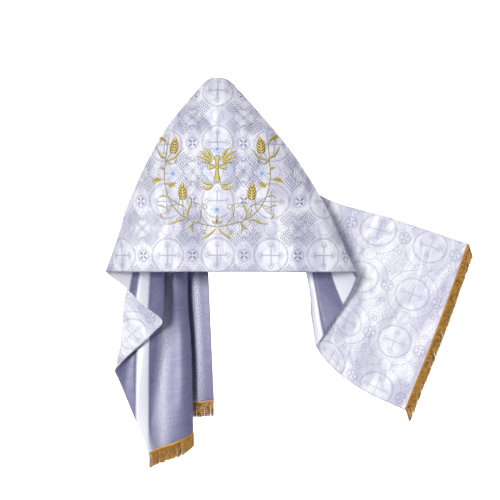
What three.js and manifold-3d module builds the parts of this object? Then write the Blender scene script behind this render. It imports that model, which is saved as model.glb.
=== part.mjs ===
// Humeral veil: a long lined rectangle of brocade worn over the shoulders, with a bullion fringe on
// both ends. The wearer faces +Y, so the embroidered back looks towards -Y. Sizes are in millimetres,
// +Z is up, and the origin is the middle of the neck hollow, level with the top of the nape edge.
import * as THREE from "three";
import { mergeVertices } from "three/addons/utils/BufferGeometryUtils.js";
import Module from "manifold-3d";

// Driving size of the cut cloth, a strip 600 wide from the neck edge to the hem. The drape's rows
// below keep to the flat lengths of its edges.
const veilLength = 2370; // from end to end along the strip, without the fringe
const halfLength = veilLength / 2;

// Driving sizes of the layers, measured from the surface between shell and lining
const layerGap = 0.3;
const shellThickness = 1.2;
const liningThickness = 1.0;
const shellFaces = { outer: layerGap / 2 + shellThickness, inner: layerGap / 2 };
const liningFaces = { outer: -layerGap / 2, inner: -layerGap / 2 - liningThickness };
const stretchGap = 0.3; // between two stretches of cloth, and between the cloth and its fringe

// Driving sizes of the neckline
const neckRadius = 60;
const neckDip = 54; // how far the neck edge falls from the nape to the side of the neck
const neckSide = 108; // length of the neck edge from the nape to the side of the neck

// Driving sizes of the fringe
const headWidth = 8;
const headThickness = 2.4;
const strandCounts = { left: 92, right: 58 };
const strandLength = 40;
const strandWidth = 2.6;
const strandRoot = 2; // how deep a strand starts inside the head
const strandMargin = 0.006; // the outermost strands' distance from the corners, as a share

// The neck edge runs round the neck and then down the front. u is the length along the edge from
// the nape, and out is the distance to the wearer's side.
const neckFront = {
  left: [
    { u: 157, out: 64, fore: 40, z: -83 },
    { u: 207, out: 63, fore: 75, z: -120 },
    { u: 256, out: 62, fore: 100, z: -162 },
  ],
  right: [
    { u: 157, out: 66, fore: 40, z: -83 },
    { u: 212, out: 74, fore: 72, z: -126 },
    { u: 252, out: 85, fore: 86, z: -163 },
    { u: 270, out: 94, fore: 97, z: -178 },
    { u: 290, out: 110, fore: 106, z: -190 },
    { u: 390, out: 176, fore: 118, z: -240 },
    { u: 510, out: 252, fore: 133, z: -296 },
    { u: 630, out: 332, fore: 150, z: -352 },
    { u: 900, out: 576, fore: 176, z: -428 },
    { u: halfLength, out: 823, fore: 200, z: -509 },
  ],
};

// Each table row is a name with its values, which become an object with the columns' names.
function namedRows(columns, table) {
  return Object.entries(table).map(([name, values]) => {
    const row = { name };
    columns.forEach((column, i) => (row[column] = values[i]));
    return row;
  });
}

// One row for each generator of the draped cloth, from the middle of the back outwards. The
// generator starts on the neck edge at the length `neck`, raised off it by `lift` where pleats lie
// on each other, and ends on the hem or the end edge at (out, fore, z). `bulge` and `belly` push
// its middle sideways and forwards over the shoulder, most at the share `peak` of its length.
// `columns` is the number of mesh columns up to the next row.
const drapeColumns = ["neck", "lift", "out", "fore", "z", "bulge", "belly", "peak", "columns"];
const liftForward = 0.76; // the forward and upward parts of one millimetre of lift
const liftUp = 0.65;
const rightDrape = namedRows(drapeColumns, {
  middle: [0, 0, 0, -130, -597, 0, -26, 0.3, 4],
  back: [22, 0, 118, -128, -597, 0, -27, 0.3, 4],
  blade: [44, 0, 234, -117, -598, 8, -26, 0.34, 4],
  backArm: [62, 0, 338, -92, -599, 28, -17, 0.36, 3],
  nearRidge: [76, 0, 402, -62, -600, 41, -8, 0.39, 2],
  ridge: [88, 0, 430, -26, -602, 47, 4, 0.41, 2],
  overArm: [104, 0, 432, 16, -622, 48, 14, 0.41, 3],
  frontArm: [140, 0, 420, 56, -662, 47, 24, 0.4, 3],
  frontBand: [190, 0, 388, 86, -722, 50, 20, 0.4, 3],
  innerBand: [228, 0, 352, 100, -782, 54, 14, 0.42, 3],
  nearFold: [252, 0, 323, 108, -828, 56, 8, 0.45, 2],
  fold: [270, 0, 315, 120, -843, 55, 6, 0.45, 2],
  afterFold: [290, 0, 324, 132, -860, 53, 6, 0.45, 3],
  sheetStart: [440, 0, 374, 148, -920, 32, 8, 0.46, 4],
  sheet: [750, 0, 472, 168, -994, 6, -6, 0.5, 4],
  nearEnd: [1010, 0, 560, 188, -1038, 0, 5, 0.5, 3],
  end: [halfLength, 0, 613, 200, -1063, 3, -6, 0.5, 0],
});
const leftDrape = namedRows(drapeColumns, {
  middle: [0, 0, 0, -130, -597, 0, -26, 0.3, 4],
  back: [26, 0, 108, -128, -597, 2, -27, 0.3, 4],
  blade: [50, 0, 210, -116, -598, 16, -26, 0.33, 3],
  backArm: [68, 0, 290, -90, -598, 36, -16, 0.35, 3],
  nearRidge: [82, 0, 334, -58, -598, 49, -8, 0.37, 2],
  ridge: [92, 0, 350, -24, -598, 55, 4, 0.37, 2],
  overArm: [106, 0, 343, 20, -612, 57, 14, 0.36, 3],
  frontArm: [122, 0, 303, 54, -646, 60, 22, 0.34, 3],
  frontBand: [144, 0, 244, 72, -706, 63, 26, 0.32, 3],
  innerFold: [160, 3, 183, 92, -766, 60, 30, 0.32, 2],
  innerReturn: [157.5, 6.5, 212, 114, -798, 62, 36, 0.33, 4],
  nearOuterFold: [148.5, 8.5, 328, 128, -908, 76, 46, 0.34, 2],
  outerFold: [146, 11.5, 342, 138, -926, 79, 50, 0.35, 2],
  afterOuterFold: [148.5, 14.5, 334, 149, -950, 76, 54, 0.35, 4],
  fallHem: [178, 18, 275, 158, -1096, 58, 60, 0.34, 3],
  nearCorner: [190, 18.5, 248, 161, -1164, 52, 61, 0.34, 1],
  hemCorner: [195, 19, 235, 163, -1196, 50, 62, 0.34, 1],
  pastCorner: [198, 19, 212, 164, -1186, 47, 63, 0.34, 3],
  endTurn: [214.5, 19.5, 101, 169, -1139, 38, 66, 0.33, 2],
  endInner: [216, 23.5, 90, 182, -1129, 37, 70, 0.33, 2],
  endReturn: [214.5, 27.5, 101, 195, -1120, 38, 74, 0.33, 4],
  endOuter: [202.5, 30, 249, 203, -1085, 46, 80, 0.33, 2],
  endFold: [201, 34, 260, 216, -1074, 48, 83, 0.33, 2],
  endForward: [202.5, 38, 249, 229, -1065, 45, 86, 0.33, 4],
  frontFall: [236, 40, 130, 238, -1046, 20, 82, 0.32, 4],
  neckCorner: [256, 38, 22, 230, -1036, 0, 72, 0.32, 0],
});
const drapes = { left: leftDrape, right: rightDrape };

// Shares of a generator's length at which the mesh has its rows
const rowCount = 10;
const rowSpread = 1.3;
const rows = Array.from({ length: rowCount + 1 }, (_, j) => Math.pow(j / rowCount, rowSpread));

// The stretches of cloth that are solids of their own, each between two named rows
const stretches = [
  { name: "left_front_fall", from: ["left", "neckCorner"], to: ["left", "outerFold"] },
  { name: "left_shoulder", from: ["left", "outerFold"], to: ["left", "ridge"] },
  { name: "back", from: ["left", "ridge"], to: ["right", "ridge"] },
  { name: "right_shoulder", from: ["right", "ridge"], to: ["right", "fold"] },
  { name: "right_end", from: ["right", "fold"], to: ["right", "end"] },
];

// Materials
const finish = (color, roughness, metalness) => {
  return new THREE.MeshStandardMaterial({ color, roughness, metalness });
};
const brocade = () => finish("#e3e3ed", 0.55, 0.1);
const satin = () => finish("#b9b9d2", 0.3, 0.15);
const goldThread = () => finish("#b07a1e", 0.5, 0.35);

// The value of a smooth curve through rows of numbers at the knot position t. Each span is a cubic
// whose slopes at the rows come from the spans on both sides, weighted by their lengths.
function smoothValue(knots, values, t) {
  const last = knots.length - 1;
  let k = 0;
  while (k < last - 1 && t > knots[k + 1]) k += 1;
  const secant = (i) => (values[i + 1] - values[i]) / (knots[i + 1] - knots[i]);
  const slope = (i) => {
    if (i === 0) return secant(0);
    if (i === last) return secant(last - 1);
    const before = knots[i] - knots[i - 1];
    const after = knots[i + 1] - knots[i];
    return (secant(i - 1) * after + secant(i) * before) / (before + after);
  };
  const span = knots[k + 1] - knots[k];
  const s = (t - knots[k]) / span;
  return (
    values[k] * (1 + 2 * s) * (1 - s) ** 2 +
    slope(k) * span * s * (1 - s) ** 2 +
    values[k + 1] * s * s * (3 - 2 * s) +
    slope(k + 1) * span * s * s * (s - 1)
  );
}

// The point of the neck edge at the length u from the nape: an arc round the neck, then the front.
const neckKnots = {};
for (const side of ["left", "right"]) {
  const round = [0, 0.25, 0.5, 0.75, 1].map((share) => ({
    u: share * neckSide,
    out: neckRadius * Math.sin((share * Math.PI) / 2),
    fore: -neckRadius * Math.cos((share * Math.PI) / 2),
    z: -neckDip * share ** 2,
  }));
  neckKnots[side] = [...round, ...neckFront[side]];
}
function neckPoint(side, u) {
  const knots = neckKnots[side];
  const lengths = knots.map((row) => row.u);
  return ["out", "fore", "z"].map((name) => smoothValue(lengths, knots.map((row) => row[name]), u));
}

// A drape's rows get their place along the drape from the lengths between their lower ends.
const placeOfRow = {};
for (const [side, table] of Object.entries(drapes)) {
  const places = [0];
  for (let i = 1; i < table.length; i += 1) {
    const [a, b] = [table[i - 1], table[i]];
    places.push(places[i - 1] + Math.hypot(b.out - a.out, b.fore - a.fore, b.z - a.z));
  }
  placeOfRow[side] = places;
}

// The point of the cloth on the generator at `place`, at the share r of its length. The middle is
// pushed out by a hump that is nothing at both ends and most at the share `peak`.
function clothPoint(side, place, r) {
  const table = drapes[side];
  const value = (name) => smoothValue(placeOfRow[side], table.map((row) => row[name]), place);
  const top = neckPoint(side, value("neck"));
  top[1] += liftForward * value("lift");
  top[2] += liftUp * value("lift");
  const power = Math.log(0.5) / Math.log(value("peak"));
  const hump = Math.sin(Math.PI * r ** power) ** 1.2;
  const out = top[0] + (value("out") - top[0]) * r + value("bulge") * hump;
  const fore = top[1] + (value("fore") - top[1]) * r + value("belly") * hump;
  const z = top[2] + (value("z") - top[2]) * r;
  return new THREE.Vector3(side === "left" ? -out : out, fore, z);
}

// The outward normal of the cloth, from small steps along and across the generators.
const probe = 0.5;
const rowProbe = 0.002;
function clothNormal(side, place, r) {
  const longest = placeOfRow[side].at(-1);
  const ahead = Math.min(place + probe, longest);
  const behind = place < probe ? place : place - probe;
  const below = Math.min(r + rowProbe, 1);
  const above = Math.max(r - rowProbe, 0);
  const along = clothPoint(side, ahead, r).sub(clothPoint(side, behind, r));
  if (side === "left") along.negate();
  const down = clothPoint(side, place, below).sub(clothPoint(side, place, above));
  return down.cross(along).normalize();
}

// The mesh columns between two named rows, listed from the wearer's left end to the right end.
function columnPlaces(side, nameA, nameB) {
  const table = drapes[side];
  const a = table.findIndex((row) => row.name === nameA);
  const b = table.findIndex((row) => row.name === nameB);
  const places = [];
  for (let i = Math.min(a, b); i < Math.max(a, b); i += 1) {
    const [start, end] = [placeOfRow[side][i], placeOfRow[side][i + 1]];
    for (let c = 0; c < table[i].columns; c += 1) {
      places.push({ side, place: start + ((end - start) * c) / table[i].columns });
    }
  }
  places.push({ side, place: placeOfRow[side][Math.max(a, b)] });
  return side === "left" ? places.reverse() : places;
}
function stretchColumns({ from, to }) {
  if (from[0] === to[0]) return columnPlaces(from[0], from[1], to[1]);
  return [...columnPlaces("left", from[1], "middle"), ...columnPlaces("right", "middle", to[1]).slice(1)];
}

// Where two stretches meet, the points of each one's last column step back by half the gap, at
// right angles to the generator.
function isFreeEdge({ side, place }) {
  return place >= placeOfRow[side].at(-1);
}
function stepBack(edge, next) {
  edge.forEach((p, j) => {
    const down = edge[Math.min(j + 1, edge.length - 1)].clone().sub(edge[Math.max(j - 1, 0)]).normalize();
    const inward = next[j].clone().sub(p);
    inward.addScaledVector(down, -inward.dot(down)).normalize();
    p.addScaledVector(inward, stretchGap / 2);
  });
}

// A closed wall between two offset copies of a grid of points, with its rim closed all round.
// points[i][j] and normals[i][j] are for column i and row j, and the normals point to the outer side.
function wallGeometry(points, normals, faces) {
  const columns = points.length;
  const depth = points[0].length;
  const positions = [];
  for (const offset of [faces.outer, faces.inner]) {
    for (let i = 0; i < columns; i += 1) {
      for (let j = 0; j < depth; j += 1) {
        const p = points[i][j].clone().addScaledVector(normals[i][j], offset);
        positions.push(p.x, p.y, p.z);
      }
    }
  }
  const at = (layer, i, j) => layer * columns * depth + i * depth + j;
  const indices = [];
  const quad = (a, b, c, d) => indices.push(a, b, c, a, c, d);
  for (let i = 0; i < columns - 1; i += 1) {
    for (let j = 0; j < depth - 1; j += 1) {
      quad(at(0, i, j), at(0, i, j + 1), at(0, i + 1, j + 1), at(0, i + 1, j));
      quad(at(1, i, j), at(1, i + 1, j), at(1, i + 1, j + 1), at(1, i, j + 1));
    }
  }
  const rim = [];
  for (let j = 0; j < depth - 1; j += 1) rim.push([0, j]);
  for (let i = 0; i < columns - 1; i += 1) rim.push([i, depth - 1]);
  for (let j = depth - 1; j > 0; j -= 1) rim.push([columns - 1, j]);
  for (let i = columns - 1; i > 0; i -= 1) rim.push([i, 0]);
  rim.forEach(([i, j], k) => {
    const [m, n] = rim[(k + 1) % rim.length];
    quad(at(0, i, j), at(1, i, j), at(1, m, n), at(0, m, n));
  });
  const geometry = new THREE.BufferGeometry();
  geometry.setAttribute("position", new THREE.Float32BufferAttribute(positions, 3));
  geometry.setIndex(indices);
  geometry.computeVertexNormals();
  return geometry;
}

function stretchGeometry(stretch, faces) {
  const columns = stretchColumns(stretch);
  const points = columns.map(({ side, place }) => rows.map((r) => clothPoint(side, place, r)));
  const normals = columns.map(({ side, place }) => rows.map((r) => clothNormal(side, place, r)));
  if (!isFreeEdge(columns[0])) stepBack(points[0], points[1]);
  if (!isFreeEdge(columns.at(-1))) stepBack(points.at(-1), points.at(-2));
  return wallGeometry(points, normals, faces);
}

// An end edge as stations from the hem corner to the neck corner, each with its point, the cloth's
// normal and the direction that leads off the cloth. They sit at the columns or rows of the mesh.
function endEdge(side, columns) {
  const points = columns.map(({ place, r }) => clothPoint(side, place, r));
  return points.map((point, i) => {
    const { place, r } = columns[i];
    const normal = clothNormal(side, place, r);
    const after = points[Math.min(i + 1, points.length - 1)];
    const before = points[Math.max(i - 1, 0)];
    const off = after.clone().sub(before).cross(normal).normalize();
    if (side === "left") off.negate();
    return { point, normal, off };
  });
}
const endStations = {
  left: endEdge(
    "left",
    columnPlaces("left", "hemCorner", "neckCorner")
      .reverse()
      .map(({ place }) => ({ place, r: 1 })),
  ),
  right: endEdge(
    "right",
    [...rows].reverse().map((r) => ({ place: placeOfRow.right.at(-1), r })),
  ),
};

// The station at a share of the end edge's length, between the two nearest stations.
function stationAt(side, share) {
  const stations = endStations[side];
  const lengths = [0];
  for (let i = 1; i < stations.length; i += 1) {
    lengths.push(lengths[i - 1] + stations[i].point.distanceTo(stations[i - 1].point));
  }
  const wanted = share * lengths.at(-1);
  let k = 0;
  while (k < stations.length - 2 && wanted > lengths[k + 1]) k += 1;
  const t = (wanted - lengths[k]) / (lengths[k + 1] - lengths[k]);
  const between = (name) => stations[k][name].clone().lerp(stations[k + 1][name], t);
  return { point: between("point"), normal: between("normal").normalize(), off: between("off") };
}

// Which way the strands hang: straight down on the left, and slanting off the held-out right edge.
const strandLean = {
  left: new THREE.Vector3(0, 0.02, -1).normalize(),
  right: new THREE.Vector3(0.08, 0, -1).normalize(),
};

const wasm = await Module();
wasm.setup();

// A three.js geometry as a manifold-3d solid, and back.
function solidOf(geometry) {
  const bare = new THREE.BufferGeometry();
  bare.setAttribute("position", geometry.getAttribute("position"));
  bare.setIndex(geometry.getIndex());
  const merged = mergeVertices(bare, 1e-4);
  return new wasm.Manifold(
    new wasm.Mesh({
      numProp: 3,
      vertProperties: new Float32Array(merged.attributes.position.array),
      triVerts: new Uint32Array(merged.index.array),
    }),
  );
}
function geometryOf(solid) {
  const mesh = solid.getMesh();
  const geometry = new THREE.BufferGeometry();
  geometry.setAttribute("position", new THREE.Float32BufferAttribute(mesh.vertProperties, 3));
  geometry.setIndex(Array.from(mesh.triVerts));
  geometry.computeVertexNormals();
  return geometry;
}

// The woven head of the fringe: a narrow wall just off the end edge.
function headGeometry(side) {
  const points = [];
  const normals = [];
  for (const { point, normal, off } of endStations[side]) {
    points.push([stretchGap, stretchGap + headWidth].map((d) => point.clone().addScaledVector(off, d)));
    normals.push([normal, normal]);
  }
  if (side === "left") {
    points.reverse();
    normals.reverse();
  }
  return wallGeometry(points, normals, { outer: headThickness / 2, inner: -headThickness / 2 });
}

// One strand: a three-sided rod from inside the head, along the way that the strands hang.
function strandGeometry(side, share) {
  const lean = strandLean[side];
  const { point, normal, off } = stationAt(side, share);
  const start = point.clone().addScaledVector(off, stretchGap + headWidth - strandRoot);
  const end = start.clone().addScaledVector(lean, strandLength + strandRoot);
  const across = lean.clone().cross(normal).normalize();
  const face = lean.clone().cross(across).normalize();
  const positions = [];
  for (const middle of [start, end]) {
    for (let k = 0; k < 3; k += 1) {
      const angle = (k * 2 * Math.PI) / 3 + Math.PI / 2;
      const p = middle.clone();
      p.addScaledVector(across, (Math.cos(angle) * strandWidth) / 2);
      p.addScaledVector(face, (Math.sin(angle) * strandWidth) / 2);
      positions.push(p.x, p.y, p.z);
    }
  }
  const indices = [0, 2, 1, 3, 4, 5];
  for (let k = 0; k < 3; k += 1) {
    const next = (k + 1) % 3;
    indices.push(k, next, next + 3, k, next + 3, k + 3);
  }
  const geometry = new THREE.BufferGeometry();
  geometry.setAttribute("position", new THREE.Float32BufferAttribute(positions, 3));
  geometry.setIndex(indices);
  return geometry;
}
function fringeGeometry(side) {
  const solids = [solidOf(headGeometry(side))];
  for (let i = 0; i < strandCounts[side]; i += 1) {
    const share = strandMargin + ((1 - 2 * strandMargin) * i) / (strandCounts[side] - 1);
    solids.push(solidOf(strandGeometry(side, share)));
  }
  return geometryOf(wasm.Manifold.union(solids));
}

const veil = new THREE.Group();
function addPiece(name, geometry, material) {
  const mesh = new THREE.Mesh(geometry, material);
  mesh.name = name;
  veil.add(mesh);
}
for (const stretch of stretches) {
  addPiece(`shell_${stretch.name}`, stretchGeometry(stretch, shellFaces), brocade());
  addPiece(`lining_${stretch.name}`, stretchGeometry(stretch, liningFaces), satin());
}
for (const side of ["left", "right"]) {
  addPiece(`fringe_${side}`, fringeGeometry(side), goldThread());
}

export default veil;
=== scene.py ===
# Looks of the humeral veil: brocade, satin lining, bullion fringe and back embroidery.
# Lengths in the tables are in millimetres; meshes are in metres.
import math

import bpy
import numpy as np
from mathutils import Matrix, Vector


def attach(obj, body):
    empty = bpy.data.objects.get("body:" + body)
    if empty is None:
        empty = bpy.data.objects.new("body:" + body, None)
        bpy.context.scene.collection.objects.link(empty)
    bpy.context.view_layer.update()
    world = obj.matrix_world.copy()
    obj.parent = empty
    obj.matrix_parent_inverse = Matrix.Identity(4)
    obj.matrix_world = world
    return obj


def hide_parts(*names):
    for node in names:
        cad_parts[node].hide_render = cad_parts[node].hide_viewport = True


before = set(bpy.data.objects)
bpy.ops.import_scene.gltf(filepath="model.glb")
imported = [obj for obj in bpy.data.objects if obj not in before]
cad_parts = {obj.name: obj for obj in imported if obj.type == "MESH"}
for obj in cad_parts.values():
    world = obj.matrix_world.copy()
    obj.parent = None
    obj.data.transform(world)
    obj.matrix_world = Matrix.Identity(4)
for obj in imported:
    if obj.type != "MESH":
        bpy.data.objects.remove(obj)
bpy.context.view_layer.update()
metre = 0.001  # one millimetre

# The drape is the same surface as the solids, on a finer grid.

veil = {
    "length": 2370,
    "width": 600,
    "neckRadius": 60,
    "neckDip": 54,
    "neckSide": 108,
    "liftForward": 0.76,
    "liftUp": 0.65,
    "columnStep": 7.2,  # widest mesh column, along the lower ends
    "leastColumns": 5,  # between two rows of the tables
    "rowCount": 92,
    "rowSpread": 1.12,
    "edgeSteps": (1.0, 2.6, 5.0),  # extra mesh lines this far from each edge
    "edgeRound": 2.2,  # how soon the turned edge thins
    "paintedHemShade": (4.0, 1.0),  # from the hem to where its painted shade ends and begins
}
brocadeWall = {"outer": 1.35, "inner": 0.15, "edgeOuter": 0.5}
liningWall = {"outer": -0.15, "inner": -1.15, "edgeInner": -0.45}

# Neck edge in front of the arc round the neck: length from the nape, and its place.
neckColumns = ("u", "out", "fore", "z")
neckFront = {
    "left": ((157, 64, 40, -83), (207, 63, 75, -120), (256, 62, 100, -162)),
    "right": (
        (157, 66, 40, -83),
        (212, 74, 72, -126),
        (252, 85, 86, -163),
        (270, 94, 97, -178),
        (290, 110, 106, -190),
        (390, 176, 118, -240),
        (510, 252, 133, -296),
        (630, 332, 150, -352),
        (900, 576, 176, -428),
        (1185, 823, 200, -509),
    ),
}

# One row for each generator, from the middle of the back outwards. neck is its place on the neck
# edge of the drape, flat the same on the flat cloth; (out, fore, z) is its lower end, which is
# (along, up) on the flat cloth; bulge and belly push its middle out, most at the share peak.
drapeColumns = (
    "neck", "flat", "lift", "out", "fore", "z", "along", "up", "bulge", "belly", "peak",
)
rightDrape = {
    "middle": (0, 0, 0, 0, -130, -597, 0, 0, 0, -26, 0.3),
    "back": (22, 22, 0, 118, -128, -597, 118, 0, 0, -27, 0.3),
    "blade": (44, 44, 0, 234, -117, -598, 236, 0, 8, -26, 0.34),
    "backArm": (62, 62, 0, 338, -92, -599, 344, 0, 28, -17, 0.36),
    "nearRidge": (76, 76, 0, 402, -62, -600, 416, 0, 41, -8, 0.39),
    "ridge": (88, 88, 0, 430, -26, -602, 462, 0, 47, 4, 0.41),
    "overArm": (104, 104, 0, 432, 16, -622, 508, 0, 48, 14, 0.41),
    "frontArm": (140, 140, 0, 420, 56, -662, 566, 0, 47, 24, 0.4),
    "frontBand": (190, 190, 0, 388, 86, -722, 640, 0, 50, 20, 0.4),
    "innerBand": (228, 228, 0, 352, 100, -782, 714, 0, 54, 14, 0.42),
    "nearFold": (252, 252, 0, 323, 108, -828, 772, 0, 56, 8, 0.45),
    "fold": (270, 270, 0, 315, 120, -843, 792, 0, 55, 6, 0.45),
    "afterFold": (290, 290, 0, 324, 132, -860, 812, 0, 53, 6, 0.45),
    "sheetStart": (440, 440, 0, 374, 148, -920, 892, 0, 32, 8, 0.46),
    "sheet": (750, 750, 0, 472, 168, -994, 1020, 0, 6, -6, 0.5),
    "nearEnd": (1010, 1010, 0, 560, 188, -1038, 1122, 0, 0, 5, 0.5),
    "end": (1185, 1185, 0, 613, 200, -1063, 1185, 0, 3, -6, 0.5),
}
leftDrape = {
    "middle": (0, 0, 0, 0, -130, -597, 0, 0, 0, -26, 0.3),
    "back": (26, 26, 0, 108, -128, -597, 108, 0, 2, -27, 0.3),
    "blade": (50, 50, 0, 210, -116, -598, 211, 0, 16, -26, 0.33),
    "backArm": (68, 68, 0, 290, -90, -598, 296, 0, 36, -16, 0.35),
    "nearRidge": (82, 82, 0, 334, -58, -598, 350, 0, 49, -8, 0.37),
    "ridge": (92, 92, 0, 350, -24, -598, 388, 0, 55, 4, 0.37),
    "overArm": (106, 106, 0, 343, 20, -612, 434, 0, 57, 14, 0.36),
    "frontArm": (122, 122, 0, 303, 54, -646, 490, 0, 60, 22, 0.34),
    "frontBand": (144, 144, 0, 244, 72, -706, 576, 0, 63, 26, 0.32),
    "innerFold": (160, 160, 3, 183, 92, -766, 668, 0, 60, 30, 0.32),
    "innerReturn": (157.5, 163, 6.5, 212, 114, -798, 714, 0, 62, 36, 0.33),
    "nearOuterFold": (148.5, 167, 8.5, 328, 128, -908, 876, 0, 76, 46, 0.34),
    "outerFold": (146, 169, 11.5, 342, 138, -926, 899, 0, 79, 50, 0.35),
    "afterOuterFold": (148.5, 171, 14.5, 334, 149, -950, 926, 0, 76, 54, 0.35),
    "fallHem": (178, 187, 18, 275, 158, -1096, 1080, 0, 58, 60, 0.34),
    "nearCorner": (190, 193, 18.5, 248, 161, -1164, 1151, 0, 52, 61, 0.34),
    "hemCorner": (195, 196, 19, 235, 163, -1196, 1185, 0, 50, 62, 0.34),
    "pastCorner": (198, 198, 19, 212, 164, -1186, 1185, 25, 47, 63, 0.34),
    "endTurn": (214.5, 212, 19.5, 101, 169, -1139, 1185, 138, 38, 66, 0.33),
    "endInner": (216, 216, 23.5, 90, 182, -1129, 1185, 162, 37, 70, 0.33),
    "endReturn": (214.5, 218, 27.5, 101, 195, -1120, 1185, 186, 38, 74, 0.33),
    "endOuter": (202.5, 224, 30, 249, 203, -1085, 1185, 326, 46, 80, 0.33),
    "endFold": (201, 227, 34, 260, 216, -1074, 1185, 352, 48, 83, 0.33),
    "endForward": (202.5, 230, 38, 249, 229, -1065, 1185, 377, 45, 86, 0.33),
    "frontFall": (236, 245, 40, 130, 238, -1046, 1185, 490, 20, 82, 0.32),
    "neckCorner": (256, 256, 38, 22, 230, -1036, 1185, 600, 0, 72, 0.32),
}


def namedColumns(rows, names):
    # a table's rows turned into one array for each named column
    return dict(zip(names, np.array(rows, float).T))


def smoothCurve(knots, values, t):
    # cubic Hermite curve through the values; a knot's slope is the length-weighted mean of the
    # straight slopes on both its sides
    step = np.diff(knots)
    secant = np.diff(values) / step
    slope = np.empty(len(knots))
    slope[0], slope[-1] = secant[0], secant[-1]
    slope[1:-1] = (secant[:-1] * step[1:] + secant[1:] * step[:-1]) / (step[:-1] + step[1:])
    k = np.clip(np.searchsorted(knots, t) - 1, 0, len(knots) - 2)
    s = (t - knots[k]) / step[k]
    start = values[k] * (1 + 2 * s) * (1 - s) ** 2 + slope[k] * step[k] * s * (1 - s) ** 2
    return start + values[k + 1] * s**2 * (3 - 2 * s) + slope[k + 1] * step[k] * s**2 * (s - 1)


def smoothStep(low, high, t):
    # 0 below low, 1 above high, and 3s^2 - 2s^3 between
    s = np.clip((t - low) / (high - low), 0, 1)
    return s * s * (3 - 2 * s)


def unit(vectors):
    # each vector divided by its length
    return vectors / np.linalg.norm(vectors, axis=-1, keepdims=True)


def runLength(points):
    # length along a line of points, from its start to each point
    return np.concatenate([[0], np.cumsum(np.linalg.norm(np.diff(points, axis=0), axis=1))])


def atLengths(at, length, rows):
    # the rows between their two nearest lengths, weighted by closeness
    return np.stack([np.interp(at, length, rows[:, n]) for n in range(rows.shape[1])], -1)


def stacked(*parts):
    # arrays spread to their common shape, side by side on a new last axis
    return np.stack(np.broadcast_arrays(*parts), -1)


drapes, necks = {}, {}
for side, table in (("left", leftDrape), ("right", rightDrape)):
    drapes[side] = namedColumns(list(table.values()), drapeColumns)
    ends = np.stack([drapes[side][name] for name in ("out", "fore", "z")], -1)
    drapes[side]["place"] = runLength(ends)
    # the neck edge starts as a quarter circle that falls with the square of its angle
    share = np.linspace(0, 1, 5)
    arc = np.stack(
        [
            share * veil["neckSide"],
            veil["neckRadius"] * np.sin(share * np.pi / 2),
            -veil["neckRadius"] * np.cos(share * np.pi / 2),
            -veil["neckDip"] * share**2,
        ],
        -1,
    )
    necks[side] = namedColumns(np.concatenate([arc, neckFront[side]]), neckColumns)


def sideValue(side, name, place):
    # one column of a drape's table at any place along it
    return smoothCurve(drapes[side]["place"], drapes[side][name], place)


def sidePoint(side, place, r):
    # top end on the neck edge + r of the way to the lower end + a hump sideways and forwards that
    # is sin(pi r^power)^1.2, with the power that puts its peak where the table says
    neck = sideValue(side, "neck", place)
    out, fore, z = (smoothCurve(necks[side]["u"], necks[side][n], neck) for n in ("out", "fore", "z"))
    lift = sideValue(side, "lift", place)
    fore = fore + veil["liftForward"] * lift
    z = z + veil["liftUp"] * lift
    power = np.log(0.5) / np.log(sideValue(side, "peak", place))
    hump = np.abs(np.sin(np.pi * r**power)) ** 1.2
    out = out + (sideValue(side, "out", place) - out) * r + sideValue(side, "bulge", place) * hump
    fore = fore + (sideValue(side, "fore", place) - fore) * r
    fore = fore + sideValue(side, "belly", place) * hump
    z = z + (sideValue(side, "z", place) - z) * r
    return np.stack([-out if side == "left" else out, fore, z], -1)


def clothPoint(w, r):
    # w is the place along the drape, below 0 on the left side
    w, r = np.broadcast_arrays(np.asarray(w, float), np.asarray(r, float))
    left = sidePoint("left", np.clip(-w, 0, drapes["left"]["place"][-1]), r)
    right = sidePoint("right", np.clip(w, 0, drapes["right"]["place"][-1]), r)
    return np.where((w < 0)[..., None], left, right)


flatNames = ("flat", "along", "up")


def flatEnds(w):
    # the flat cloth's coordinates at both ends of the generators: neck edge, and lower end
    left = [sideValue("left", n, np.clip(-w, 0, drapes["left"]["place"][-1])) for n in flatNames]
    right = [sideValue("right", n, np.clip(w, 0, drapes["right"]["place"][-1])) for n in flatNames]
    neck, along, up = (np.where(w < 0, a, b) for a, b in zip(left, right))
    sign = np.where(w < 0, -1, 1)
    return neck * sign, along * sign, up


print("drape tables ready")
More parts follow.
